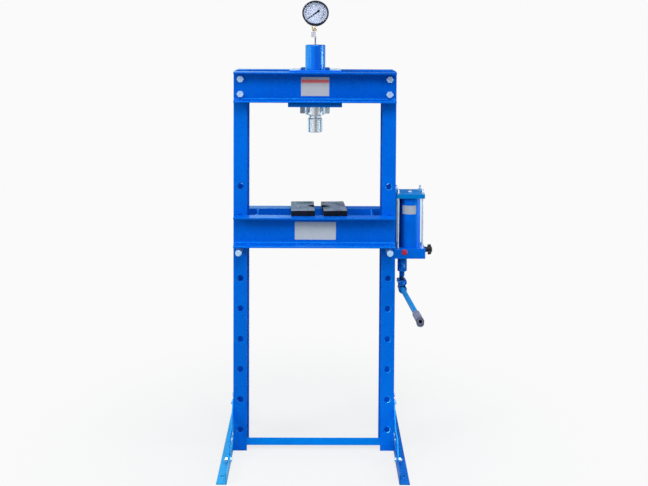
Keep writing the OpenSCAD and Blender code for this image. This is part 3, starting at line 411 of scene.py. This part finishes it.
def post_shading(m, tone):
    """The right post's painted light: paler towards its foot and inside it, and lit walls and painted
    highlights in its pin holes.
    """
    # heights in metres: up to which the inside is lit, the holes' outer halves carry a painted highlight
    # and then a paler painted glint, where the foot starts to take painted light, and the band of painted
    # light beside the pump's top
    lit_top, painted_highlight_top, painted_glint_top = 1.05, 0.65, 0.27
    foot_top, foot_rate = 0.60, 2.2
    band_low, band_top = 1.02, 1.14
    hole_reach = ((PIN_HIGH.x - PIN_LOW.x) / 2 + 0.95) * MM
    flange_face = (POST_HIGH.y - 8.8) * MM
    web_face = (POST_HIGH.x - WEB - 0.5) * MM
    painted_light_blue = (0.0, 0.42, 1.0, 1.0)
    pitch = HOLE_PITCH * MM
    first_hole = (PIN_LOW.z + PIN_HIGH.z) / 2 * MM % pitch

    def below(value, limit):
        return m.math("LESS_THAN", value, limit)

    def above(value, limit):
        return m.math("GREATER_THAN", value, limit)

    x, y, z = m.split(m.place())
    dx = m.math("SUBTRACT", x, POST_X * MM)
    raised = m.math("ADD", z, 1.5 * pitch - first_hole)
    dz = m.math("SUBTRACT", m.math("MODULO", raised, pitch), pitch / 2)
    radius = m.math("SQRT", m.math("ADD", m.times(dx, dx), m.times(dz, dz)))
    wall = below(radius, hole_reach)
    inside = m.times(below(m.math("ABSOLUTE", y), flange_face), below(x, web_face))
    outer_half = above(dx, 0.0)
    lit = below(z, lit_top)
    band = m.times(above(z, band_low), below(z, band_top))
    foot = m.times(m.math("SUBTRACT", foot_top, z), foot_rate)
    foot = m.math("MINIMUM", m.math("MAXIMUM", foot, 0.0), 1.0)
    # Painted light: paler blue towards the foot, inside the channel, on the hole walls and in the band
    # beside the pump's top; painted highlights on the holes' outer halves.
    for mask, color in ((foot, (0.0, 0.168, 0.87, 1.0)),
                        (m.times(inside, lit), painted_light_blue),
                        (m.times(wall, lit), (0.0, 0.20, 0.85, 1.0)),
                        (m.times(wall, outer_half, below(z, painted_highlight_top)), (0.02, 0.34, 1.0, 1.0)),
                        (m.times(wall, outer_half, below(z, painted_glint_top)), (0.12, 0.85, 1.0, 1.0)),
                        (m.times(inside, band), painted_light_blue),
                        (m.times(wall, band), (0.05, 0.40, 0.95, 1.0))):
        tone = m.mix(mask, tone, color)
    return tone


# One material for each slot of the record
FINISH = {
    "blue_paint": enamel("enamel_blue", BLUE),
    "zinc_plate": metal("zinc", lin(232, 240, 250), 0.30, grain=260.0, stain=0.3, grain_bump=0.10),
    "turned_steel": metal("turned", lin(214, 214, 218), 0.30, (0.05, 0.05, 8.0), 220.0, stain=0.1),
    "hard_chrome": metal("chrome", lin(222, 228, 236), 0.22, (0.05, 0.05, 6.0), 260.0, stain=0.05,
                         grain_bump=0.015, metallic=0.82),
    "dark_steel": v_block_steel(),
    "black_oxide": metal("oxide", lin(40, 40, 44), 0.35),
    "spring_steel": metal("spring", lin(120, 120, 122), 0.35),
    "bronze": metal("bronze_bush", lin(190, 140, 80), 0.3),
    "brass_fitting": metal("brass_fit", lin(212, 196, 166), 0.42, stain=0.6, dark=lin(112, 96, 78)),
    "nickel_coupler": metal("nickel", lin(222, 218, 228), 0.42, stain=0.15),
    "black_case": enamel("enamel_black", lin(14, 14, 34), 0.36, 0.8, 0.3, spec=0.3, tint=(0.6, 0.65, 1, 1)),
    "dial_white": dial_face(),
    "black_pointer": plastic("pointer_black", lin(4, 10, 24), 0.75, scuff=0.1, spec=0.1),
    "clear_glass": glass(),
    "black_plastic": plastic("knob_black", lin(14, 14, 24), 0.42),
    "red_plastic": plastic("cap_red", lin(178, 26, 62), 0.35),
    "seal_rubber": plastic("seal_black", lin(22, 22, 24), 0.6),
    "grip_rubber": grip_material(),
}

# Single parts whose paint or metal differs from their slot's; several are lighter or darker copies that
# carry painted light and painted shade
# The beam's channels: a darker copy of the blue, painted shade.
BEAM = enamel("enamel_blue_beam_painted_shade", (0.0, 0.095, 0.60, 1.0))
# Darker blue: painted shade on the head plate under the beam's flanges; the tie bolts take the same dark
# blue.
SHADE = enamel("enamel_blue_shade", (0.001, 0.066, 0.38, 1.0), 0.34)
# The braces: a lighter copy of the blue, painted highlight.
BRACE = enamel("enamel_blue_brace", (0.010, 0.255, 0.88, 1.0))
# Darker blue for the pump's barrel and lever socket: painted shade, with painted glints in its pale specks.
DEEP = enamel("enamel_blue_deep_painted_shade", (0.0, 0.078, 0.46, 1.0), 0.28, 1.8, 1.0, 0.06, cast=0.6, glints_and_specks=0.7)
# Bolt heads and frame bolts: a brighter, bluer copy of the zinc, painted highlight.
HEADS = metal("zinc_painted_highlight", lin(196, 226, 255), 0.34, grain=260.0, stain=0.35, metallic=0.45,
              dark=lin(112, 146, 186))
# Tie nuts under the head plate: a darker copy of the zinc, painted shade.
NUTS = metal("zinc_painted_shade", lin(182, 188, 194), 0.36, grain=260.0, stain=0.45, metallic=0.7,
             dark=lin(84, 98, 112))
PIN = pin_steel()
PAINT_OF = {
    "post_right": enamel("enamel_blue_post_right_painted_light", BLUE, shade=post_shading),
    # The left foot: a lighter, cyan copy of the blue, painted highlight.
    "foot_left": enamel("enamel_blue_foot_left_painted_highlight", (0.016, 0.355, 0.78, 1.0)),
    # The right foot: a darker copy of the blue, painted shade.
    "foot_right": enamel("enamel_blue_foot_right_painted_shade", (0.0, 0.128, 0.56, 1.0), spec=0.3),
    # The crossbar: a lighter copy of the blue, painted highlight.
    "lower_crossbar": enamel("enamel_blue_crossbar_painted_highlight", (0.0, 0.235, 0.90, 1.0)),
    "upper_plate": plate_paint(),
    # The handle tube: a lighter, cyan copy of the blue, painted highlight.
    "handle_tube": enamel("enamel_blue_tube_painted_highlight", (0.010, 0.215, 0.56, 1.0), 0.38, spec=0.25),
    "pump_block": enamel("enamel_blue_cast", BLUE, 0.30, 1.5, 0.4, 0.05, cast=0.35),
    # The pump's top plate: a cyan copy of the blue, painted highlight on its top.
    "pump_top_plate": enamel("enamel_blue_top_plate_painted_highlight", (0.0, 0.165, 0.52, 1.0), 0.34, 1.2, 0.5, 0.05,
                             cast=0.2),
    # The tank: painted shade on its left side beside the post, painted highlight towards its right.
    "pump_tank": graded_enamel("enamel_blue_tank_painted_shading", [
        (345, (0.0, 0.020, 0.17)), (356, (0.0, 0.055, 0.34)), (366, (0.0, 0.122, 0.70)),
        (380, (0.0, 0.122, 0.70)), (398, (0.0, 0.108, 0.66)), (420, (0.0, 0.150, 0.86))], TINT),
    # The cylinder: painted highlight at its left, painted shade right of its middle, lighter again towards
    # its right edge.
    "cylinder_body": graded_enamel("enamel_blue_cylinder_painted_shading", [
        (-34, (0.0, 0.250, 0.74)), (-22, (0.0, 0.150, 0.62)), (-6, (0.0, 0.116, 0.63)),
        (6, (0.0, 0.092, 0.56)), (20, (0.0, 0.078, 0.47)), (30, (0.0, 0.118, 0.60))],
        (0.26, 0.95, 1.0, 1.0)),
    # The lock collar: a whiter copy of the turned steel, painted light where the beam shades it.
    "lock_collar": metal("turned_painted_light", lin(246, 248, 250), 0.30, (0.05, 0.05, 8.0), 220.0, stain=0.05,
                         metallic=0.75),
    # The plunger's steel is given a dark blue.
    "pump_plunger": metal("plunger_dark_blue", lin(36, 62, 110), 0.30, (0.05, 0.05, 6.0), 260.0),
    "gauge_stem": metal("stem_grey", lin(136, 138, 146), 0.45, stain=0.2),
    "ram_head": FINISH["hard_chrome"],
    "tie_nuts": NUTS,
}
for material, names in ((BEAM, ("top_channel_front", "top_channel_rear")),
                        (SHADE, ("head_plate", "tie_bolts")),
                        (BRACE, [n for n in NODES if n.startswith("brace_")]),
                        (DEEP, ("pump_barrel", "lever_socket")),
                        (HEADS, ("beam_bolts", "frame_bolts")),
                        (PIN, ("bed_pin_left", "bed_pin_right"))):
    PAINT_OF.update(dict.fromkeys(names, material))
for name, obj in NODES.items():
    obj.data.materials.clear()
    obj.data.materials.append(PAINT_OF.get(name, FINISH[SLOT_OF[name]]))


# ---------- geometry helpers ----------

def add_mesh(name, verts, faces, material, body, smooth=True):
    """A visual piece that rides on a body of the frame; verts in metres."""
    me = bpy.data.meshes.new(name)
    me.from_pydata([tuple(v) for v in verts], [], faces)
    me.validate()
    me.update()
    if smooth:
        for p in me.polygons:
            p.use_smooth = True
    me.materials.append(material)
    o = bpy.data.objects.new(name, me)
    bpy.context.scene.collection.objects.link(o)
    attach(o, body)
    return o


def basis(axis):
    """Two directions square to an axis, and the axis, all of length 1."""
    w = Vector(axis).normalized()
    u = w.orthogonal().normalized()
    return u, w.cross(u), w


def thread(name, base, axis, length, r, pitch, body, depth=0.32):
    """Helical thread that stands depth proud of a plain shank of radius r, mm."""
    slot, seg = "zinc_plate", 20
    u, v, w = basis(axis)
    base = Vector(base)
    root = r - 0.04
    flank, crest = pitch / 2, pitch * 0.07
    profile = ((-flank, root), (-crest, r + depth), (crest, r + depth), (flank, root))
    verts, faces = [], []
    turns = max(1.0, (length - pitch) / pitch)
    n = int(turns * seg)
    for j in range(n + 1):
        a = 2 * math.pi * j / seg
        radial = u * math.cos(a) + v * math.sin(a)
        z = pitch / 2 + j * pitch / seg
        for dz, rr in profile:
            verts.append((base + radial * rr + w * (z + dz)) * MM)
    k = len(profile)
    for j in range(n):
        for a in range(k * j, k * j + k - 1):
            faces.append((a, a + k, a + k + 1, a + 1))
    return add_mesh(name, verts, faces, FINISH[slot], body, smooth=False)


def weld(name, points, r, body):
    """Painted weld bead of radius r along a line of points, rippled and tapered at its ends, mm."""
    slot, sides, step = "blue_paint", 8, 0.9
    pts = [Vector(p) for p in points]
    path = []
    for a, b in zip(pts, pts[1:]):
        n = max(1, int((b - a).length / step))
        path += [a.lerp(b, i / n) for i in range(n)]
    path.append(pts[-1])
    last = len(path) - 1
    verts, faces = [], []
    for i, p in enumerate(path):
        d = (path[min(i + 1, last)] - path[max(i - 1, 0)]).normalized()
        u, v, _ = basis(d)
        end = min(1.0, 0.35 + 0.25 * min(i, last - i))
        rr = r * end * (1 + 0.10 * math.sin(i * 1.35) + 0.05 * math.sin(i * 0.41 + 2))
        for k in range(sides):
            a = 2 * math.pi * k / sides
            verts.append((p + u * rr * math.cos(a) + v * rr * math.sin(a)) * MM)
    for i in range(last):
        for k in range(sides):
            a, b = i * sides + k, i * sides + (k + 1) % sides
            faces.append((a, b, b + sides, a + sides))
    faces.append(tuple(range(sides))[::-1])
    faces.append(tuple(range(last * sides, (last + 1) * sides)))
    return add_mesh(name, verts, faces, FINISH[slot], body)


def plate(name, centre, w, h, t, material, body, r=2.0):
    """Upright plate that faces the front, w wide, h high and t thick, with round corners, mm."""
    c = Vector(centre)
    across, up, out = Vector((1, 0, 0)), Vector((0, 0, 1)), Vector((0, -1, 0))
    steps = 6
    rim = []
    for cx, cy, a0 in ((1, 1, 0), (-1, 1, 90), (-1, -1, 180), (1, -1, 270)):
        for i in range(steps):
            a = math.radians(a0 + 90 / (steps - 1) * i)
            rim.append((cx * (w / 2 - r) + r * math.cos(a), cy * (h / 2 - r) + r * math.sin(a)))
    verts = [(c + across * x + up * y + out * d) * MM for d in (0, t) for x, y in rim]
    k = len(rim)
    faces = [tuple(range(k, 2 * k)), tuple(range(k))[::-1]]
    faces += [(i, (i + 1) % k, k + (i + 1) % k, k + i) for i in range(k)]
    return add_mesh(name, verts, faces, material, body, smooth=False)


# ---------- dial print ----------

GAUGE_CENTRE = Vector([v / MM for v in JOINTS["pointer_turn"]["pos_m"]])
GAUGE_TILT, GAUGE_TURN = math.radians(67), math.radians(-7)
GAUGE = Matrix.Translation(GAUGE_CENTRE) @ Matrix.Rotation(GAUGE_TILT, 4, "X") \
    @ Matrix.Rotation(GAUGE_TURN, 4, "Z")
DIAL_FACE, INK_LIFT = -2.0, 0.06
SCALE_START, SCALE_SWEEP = 225, 270
SCALE_END = SCALE_START - SCALE_SWEEP
INK = plastic("ink_dark", lin(20, 26, 48), 0.6, scuff=0.1)
INK_RED = plastic("ink_red", lin(96, 48, 84), 0.6, scuff=0.1)


def on_dial(x, y, z=DIAL_FACE + INK_LIFT):
    """A point of the dial, in mm from the gauge's centre, to metres in the frame."""
    return (GAUGE @ Vector((x, y, z))) * MM


def dial_quads(name, quads, material):
    """Flat shapes printed on the dial, as one piece."""
    verts, faces = [], []
    for q in quads:
        i = len(verts)
        verts += [on_dial(x, y) for x, y in q]
        faces.append(tuple(range(i, i + len(q))))
    return add_mesh(name, verts, faces, material, "frame", smooth=False)


def ray(a, r0, r1, w):
    """A mark of width w along the direction a, from radius r0 to r1."""
    c, s = math.cos(a), math.sin(a)
    px, py = -s * w / 2, c * w / 2
    return [(c * r0 - px, s * r0 - py), (c * r1 - px, s * r1 - py), (c * r1 + px, s * r1 + py),
            (c * r0 + px, s * r0 + py)]


def arc_quads(a0, a1, r0, r1, n):
    """A band between two radii, from angle a0 to a1 in degrees, in n pieces."""
    out = []
    for i in range(n):
        b0 = math.radians(a0 + (a1 - a0) * i / n)
        b1 = math.radians(a0 + (a1 - a0) * (i + 1) / n)
        out.append([(r0 * math.cos(b0), r0 * math.sin(b0)), (r1 * math.cos(b0), r1 * math.sin(b0)),
                    (r1 * math.cos(b1), r1 * math.sin(b1)), (r0 * math.cos(b1), r0 * math.sin(b1))][::-1])
    return out


def dial_angle(f):
    """Angle in degrees at the fraction f of the scale."""
    return SCALE_START - SCALE_SWEEP * f


def dial_scale(name, ring, steps, marks, material):
    """A ring (inner and outer radius, pieces) with marks (every, from, to, width), the longest first."""
    quads = arc_quads(SCALE_START, SCALE_END, *ring)
    for i in range(steps + 1):
        r0, r1, width = [size for every, *size in marks if i % every == 0][0]
        quads.append(ray(math.radians(dial_angle(i / steps)), r0, r1, width))
    return dial_quads(name, quads, material)


def numbers(name, labels, radius, size, material):
    """Plain numbers round the dial: (text, angle in degrees) labels at one radius."""
    verts, faces = [], []
    for text, ang in labels:
        cu = bpy.data.curves.new("tmp", "FONT")
        cu.body = text
        cu.align_x = "CENTER"
        cu.align_y = "CENTER"
        cu.size = size
        ob = bpy.data.objects.new("tmp", cu)
        bpy.context.scene.collection.objects.link(ob)
        me = ob.to_mesh()
        a = math.radians(ang)
        i = len(verts)
        for v in me.vertices:
            verts.append(on_dial(radius * math.cos(a) + v.co.x, radius * math.sin(a) + v.co.y))
        for p in me.polygons:
            faces.append(tuple(i + k for k in p.vertices))
        ob.to_mesh_clear()
        bpy.data.objects.remove(ob)
        bpy.data.curves.remove(cu)
    return add_mesh(name, verts, faces, material, "frame", smooth=False)


def even_labels(last, step):
    """Numbers from 0 to last, spread evenly over the scale."""
    return [(str(n), dial_angle(n / last)) for n in range(0, last + 1, step)]


dial_scale("dial_scale_outer", (40.0, 40.9, 90), 60,
           ((10, 40.6, 45.6, 1.3), (5, 40.6, 44.0, 0.9), (1, 40.6, 42.6, 0.6)), INK)
dial_scale("dial_scale_inner", (29.4, 30.3, 80), 40, ((5, 26.4, 29.8, 1.1), (1, 28.3, 29.8, 0.5)), INK_RED)
dial_quads("dial_band", arc_quads(28, SCALE_END, 32.0, 34.6, 26), INK_RED)
numbers("dial_numbers_outer", even_labels(600, 100), 36.2, 6.4, INK)
numbers("dial_numbers_inner", even_labels(16, 2), 21.5, 6.6, INK)

# ---------- pointer ----------

def pointer():
    """Stamped pointer with a black hub cap; a little fuller than the CAD blade, within its reach."""
    tip, tail, shoulder = 41.2, 15.6, 5
    low, top = 0.0, 0.8
    hub_top, cap_top, pivot_low = 0.9, 1.35, -6.0
    turn = Matrix.Rotation(math.radians(SCALE_START), 4, "Z")
    verts, faces = [], []

    def extrude(points, z0, z1, taper=1.0):
        i, n = len(verts), len(points)
        cx = sum(x for x, _ in points) / n
        cy = sum(y for _, y in points) / n
        for z, k in ((z0, 1.0), (z1, taper)):
            for x, y in points:
                local = turn @ Vector((cx + (x - cx) * k, cy + (y - cy) * k, 0))
                verts.append(on_dial(local.x, local.y, z))
        faces.append(tuple(range(i, i + n))[::-1])
        faces.append(tuple(range(i + n, i + 2 * n)))
        for j in range(n):
            k = (j + 1) % n
            faces.append((i + j, i + k, i + n + k, i + n + j))

    def disc(x, r, n=28):
        angles = [2 * math.pi * j / n for j in range(n)]
        return [(x + r * math.cos(a), r * math.sin(a)) for a in angles]

    outline = [(-tail, -2.0), (0, -1.9), (tip - shoulder, -1.2), (tip, 0), (tip - shoulder, 1.2), (0, 1.9),
               (-tail, 2.0)]
    extrude(outline, low, top)
    extrude(disc(-tail, 5.4), low, top + 0.02)
    extrude(disc(0, 3.0), low - 0.3, hub_top)
    extrude(disc(0, 2.4), hub_top, cap_top, 0.7)
    extrude(disc(0, 1.2, 16), pivot_low, low)
    blade = add_mesh("pointer_blade", verts, faces, FINISH["black_pointer"],
                     BODY_OF["gauge_pointer"], smooth=False)
    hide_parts("gauge_pointer")


pointer()

# ---------- labels, left bare ----------

LABEL_PALE = plastic("label_pale", lin(180, 180, 183), 0.4, scuff=0.12, bump=0.02)
LABEL_SILVER = plastic("label_silver", lin(194, 198, 198), 0.42, scuff=0.12, bump=0.02)
LABEL_TANK = plastic("label_grey", lin(163, 169, 178), 0.4, scuff=0.12, bump=0.02)
LABEL_RED = plastic("label_red", lin(214, 96, 96), 0.4, scuff=0.1, bump=0.02)


def flat_labels():
    """Plates on the webs of the beam and the bed, and the red band on the beam's."""
    lift, band_lift = 0.02, 0.30
    beam_face = BEAM_HIGH.y - WEB
    bed_face = BED_HIGH.y - WEB
    plate("label_beam", (0, beam_face - lift, BEAM_Z + 1), 112, 76, 0.25, LABEL_PALE,
          "frame")
    plate("label_beam_band", (0, beam_face - band_lift, BEAM_Z + 22), 110, 13, 0.06, LABEL_RED,
          "frame", 0.5)
    plate("label_bed", (3.5, bed_face - lift, BED_Z - 1.8), 164.5, 72, 0.3, LABEL_SILVER,
          "bed")


def tank_label():
    """Label bent round the front of the tank."""
    n = 24
    radius = TANK_HIGH.x - PUMP_X + 0.12
    first, sweep = -90 - 43, 75
    low, top = TANK_HIGH.z - 66, TANK_HIGH.z - 31
    verts, faces = [], []
    for i in range(n + 1):
        a = math.radians(first + sweep * i / n)
        for z in (low, top):
            verts.append(Vector((PUMP_X + radius * math.cos(a), radius * math.sin(a), z)) * MM)
    for i in range(n):
        faces.append((2 * i, 2 * i + 2, 2 * i + 3, 2 * i + 1))
    return add_mesh("label_tank", verts, faces, LABEL_TANK, "frame")


flat_labels()
tank_label()

# ---------- threads and welds ----------

CORNERS = [(sx, sy, "lr"[sx > 0] + "fb"[sy > 0]) for sx in (-1, 1) for sy in (-1, 1)]


def stud_threads():
    """The pump's tie rods above their nuts."""
    rod_x, rod_y, gap = 49, 47, 0.1
    for sx, sy, corner in CORNERS:
        thread(f"stud_thread_{corner}", (PUMP_X + sx * rod_x, sy * rod_y, TIE_NUT_TOP + gap), (0, 0, 1),
               TIE_ROD_TOP - TIE_NUT_TOP - 3 * gap, 4.0, 1.25, "frame")


def bolt_threads():
    """The ends of the M16 beam bolts and of the M10 bolts of feet and braces, past their nuts."""
    bolt_offset, bolt_end_y = 30, 37.2
    # name, start (from the post's web, out from the middle, up), direction along X, length
    m10_ends = (("foot_bolt_thread", (-21.2, 24, 25), 1, 2.7),
                ("brace_low_thread", (22.2, 185, 24.5), -1, 3.6),
                ("brace_top_thread", (-17.2, 36, 190), 1, 2.7))
    for sx, sy, corner in CORNERS:
        for z in (BEAM_Z - bolt_offset, BEAM_Z + bolt_offset):
            thread(f"beam_bolt_thread_{corner}_{z:.0f}", (sx * POST_X, sy * bolt_end_y, z), (0, sy, 0), 2.7,
                   8.0, 2.0, "frame")
        for name, (x, y, z), outward, length in m10_ends:
            start = (sx * (POST_HIGH.x + x), sy * y, z)
            thread(f"{name}_{corner}", start, (sx * outward, 0, 0), length, 5.0, 1.5, "frame")


def adapter_threads():
    """The hose adapters of the cylinder (head) and of the pump, at the record's ports."""
    lead, runout = 1.0, 0.6
    for name, port in (("head", MOUNTS["cylinder_port"]), ("pump", MOUNTS["pump_port"])):
        x, y, z = [v / MM for v in port["pos_m"]]
        length, r = port["dims"]["length_mm"], port["dims"]["r_mm"]
        start = (x, y - length / 2 + lead, z)
        thread(f"adapter_thread_{name}", start, (0, 1, 0), length - lead - runout, r, 1.5, "frame", 0.3)


def welds():
    """Beads at the crossbar's end tabs and at the ends of the bed's spacer plates."""
    tab_x = CROSSBAR_HIGH.x - 4.4
    tab_y = (-43.2, -34.8)
    tab_z = (("top", 23.9), ("low", 19.2))
    spacer_y = SPACER_HIGH.y - 0.6
    spacer_z = (SPACER_LOW.z + 0.2, SPACER_HIGH.z - 2.8)
    for s, side in SIDES:
        for level, z in tab_z:
            weld(f"weld_crossbar_{side}_{level}", [(s * tab_x, y, z) for y in tab_y], 1.6, "frame")
        for t in (-1, 1):
            for face, x in enumerate((SPACER_LOW.x, SPACER_HIGH.x)):
                line = [(s * x, t * spacer_y, z) for z in spacer_z]
                weld(f"weld_spacer_{side}_{t + 1}{face}", line, 2.0, "bed")


stud_threads()
bolt_threads()
adapter_threads()
welds()

# ---------- stage ----------

BACKDROP = 0.955    # brightness of the white behind the press
FLOOR_GREY = (0.66, 0.66, 0.66, 1)
FLOOR_BOUNCE = (0.45, 0.46, 0.48, 1)
FLOOR_REACH, FLOOR_DROP = 30, 0.0005    # metres


def stage_plane(name, verts, material):
    """A four-cornered plane of the stage, in metres."""
    me = bpy.data.meshes.new(name)
    me.from_pydata(verts, [], [(0, 1, 2, 3)])
    me.materials.append(material)
    o = bpy.data.objects.new(name, me)
    bpy.context.scene.collection.objects.link(o)
    return o


def floor_material():
    """Pale floor: soft shadows near the press, white further out; dull to all but the camera's rays."""
    near, far = 0.35, 1.35
    material = bpy.data.materials.new("floor_pale")
    t = Tree(material)
    seen = t.add("ShaderNodeBsdfDiffuse", Color=FLOOR_GREY).outputs[0]
    unseen = t.add("ShaderNodeBsdfDiffuse", Color=FLOOR_BOUNCE).outputs[0]
    glow = t.add("ShaderNodeEmission", Color=PLAIN, Strength=BACKDROP).outputs[0]
    place = t.place()
    white = t.span(t.vector("LENGTH", place)["Value"], near, far, 0.80, 1.0, smooth=True)
    hole = Vector((FLOOR_BOLTS["spacing_x_mm"], FLOOR_BOLTS["spacing_y_mm"], 0)) / 2 * MM
    from_hole = t.vector("DISTANCE", t.vector("ABSOLUTE", place)["Vector"], hole)["Value"]
    past_hole = t.math("GREATER_THAN", from_hole, 1.5 * FLOOR_BOLTS["hole_r_mm"] * MM)
    lit = t.mix_shader(t.times(white, past_hole), seen, glow)
    camera_ray = t.add("ShaderNodeLightPath").outputs["Is Camera Ray"]
    t.put(t.out.inputs["Surface"], t.mix_shader(camera_ray, unseen, lit))
    return material


def floor():
    """The floor, just below the feet."""
    r = FLOOR_REACH
    square = [(x, y, -FLOOR_DROP) for x, y in ((-r, -r), (r, -r), (r, r), (-r, r))]
    stage_plane("floor", square, floor_material())


def card(name, centre, width, height, yaw, strength, color=PLAIN):
    """An upright card, in metres, that only reflections see; yaw turns its width from the X axis."""
    material = bpy.data.materials.new(name)
    t = Tree(material)
    glow = t.add("ShaderNodeEmission", Strength=strength, Color=color)
    t.put(t.out.inputs["Surface"], glow.outputs[0])
    c = Vector(centre)
    u = Vector((math.cos(yaw), math.sin(yaw), 0)) * width / 2
    z = Vector((0, 0, height / 2))
    rim = [tuple(v) for v in (c - u - z, c + u - z, c + u + z, c - u + z)]
    o = stage_plane(name, rim, material)
    o.visible_camera = False
    o.visible_diffuse = False
    o.visible_shadow = False


def cards():
    """What the enamel, the chrome and the plated parts mirror, round the press."""
    cyan = (0.80, 1.0, 1.0, 1)
    side_on = math.pi / 2
    card("card_front", (1.3, -6.4, 1.6), 2.6, 4.0, 0.2, 0.26)
    card("card_front_left", (-3.2, -5.0, 1.6), 6.2, 4.0, -0.57, 0.95)
    card("card_front_right", (4.4, -4.4, 1.6), 3.6, 4.0, 0.78, 0.80)
    card("card_left", (-4.6, -0.3, 1.9), 3.4, 2.4, side_on, 2.0)
    card("card_head_left", (-3.5, -2.1, 1.55), 1.5, 0.4, -1.03, 6.0, (0.5, 1.0, 1.0, 1))
    card("card_head_right", (4.2, -0.1, 1.42), 1.7, 0.30, side_on, 18.0, (0.95, 1.0, 1.0, 1))
    card("card_tank_right", (4.3, -1.6, 0.18), 1.8, 0.34, 1.2, 4.5, (0.3, 1.0, 1.0, 1))
    card("card_back_left", (-3.6, 2.9, 1.6), 3.2, 3.2, 0.89, 1.1, cyan)
    card("card_back_right", (3.6, 2.9, 1.6), 3.2, 3.2, -0.89, 1.0, cyan)
    card("card_right", (4.6, -0.5, 2.15), 3.2, 2.1, side_on, 2.7, (0.93, 1.0, 1.0, 1))
    card("card_right_low", (4.6, 0.25, 0.45), 3.7, 1.1, side_on, 1.6)
    card("card_back", (-1.55, 3.7, 1.6), 2.7, 3.2, 0.0, 0.9, (0.62, 1.0, 1.0, 1))


def sky():
    """A dim blue sky for the press, a plain white backdrop for the camera."""
    world = bpy.data.worlds.new("studio")
    bpy.context.scene.world = world
    t = Tree(world, "ShaderNodeOutputWorld")
    dim = t.add("ShaderNodeBackground", Color=(0.50, 0.85, 1.0, 1), Strength=0.20).outputs[0]
    backdrop = t.add("ShaderNodeBackground", Color=PLAIN, Strength=BACKDROP).outputs[0]
    camera_ray = t.add("ShaderNodeLightPath").outputs["Is Camera Ray"]
    t.put(t.out.inputs["Surface"], t.mix_shader(camera_ray, dim, backdrop))


def lamp(name, place, target, width, height, power, mirrored=True):
    """A rectangular lamp, in metres and watts, turned to its target; mirrored if reflections show it."""
    light = bpy.data.lights.new(name, "AREA")
    light.shape = "RECTANGLE"
    light.size, light.size_y = width, height
    light.energy = power
    o = bpy.data.objects.new(name, light)
    bpy.context.scene.collection.objects.link(o)
    o.location = place
    o.rotation_mode = "QUATERNION"
    o.rotation_quaternion = (Vector(target) - Vector(place)).to_track_quat("-Z", "Y")
    o.visible_glossy = mirrored


def lamps():
    """A main lamp at the left, fill from the front and right, one above and one behind."""
    lamp("key", (-3.5, -2.1, 2.9), (0, 0, 1.0), 1.4, 2.0, 88)
    lamp("front", (0.3, -3.2, 4.1), (0, 0, 1.0), 2.4, 2.0, 112)
    lamp("right", (3.5, -0.9, 2.1), (0, 0, 1.0), 1.1, 2.6, 66, mirrored=False)
    lamp("top", (0.0, -0.4, 5.2), (0, 0, 0.8), 3.0, 2.0, 95)
    lamp("back", (1.2, 3.4, 2.6), (0, 0, 0.9), 1.8, 1.8, 30, mirrored=False)


floor()
cards()
sky()
lamps()

# ---------- camera ----------

def camera():
    """The photograph's camera, as fitted to the straight edges of the frame."""
    place = Vector((0.0121, -3.6617, 1.7649))
    pitch, yaw, roll = math.radians(2.48), math.radians(-0.36), math.radians(0.29)
    forward = Vector((-math.sin(yaw) * math.cos(pitch), math.cos(yaw) * math.cos(pitch), -math.sin(pitch)))
    right = Vector((math.cos(yaw), math.sin(yaw), 0))
    up = right.cross(forward)
    cam_x = right * math.cos(roll) + up * math.sin(roll)
    cam_y = -right * math.sin(roll) + up * math.cos(roll)
    cam_data = bpy.data.cameras.new("camera")
    cam = bpy.data.objects.new("camera", cam_data)
    bpy.context.scene.collection.objects.link(cam)
    turn = Matrix((cam_x, cam_y, -forward)).transposed()
    cam.matrix_world = Matrix.Translation(place) @ turn.to_4x4()
    cam_data.sensor_width = 36
    cam_data.lens = 50.33
    cam_data.shift_y = -0.291
    cam_data.clip_end = 100
    bpy.context.scene.camera = cam


camera()
bpy.context.scene.view_settings.view_transform = "Standard"
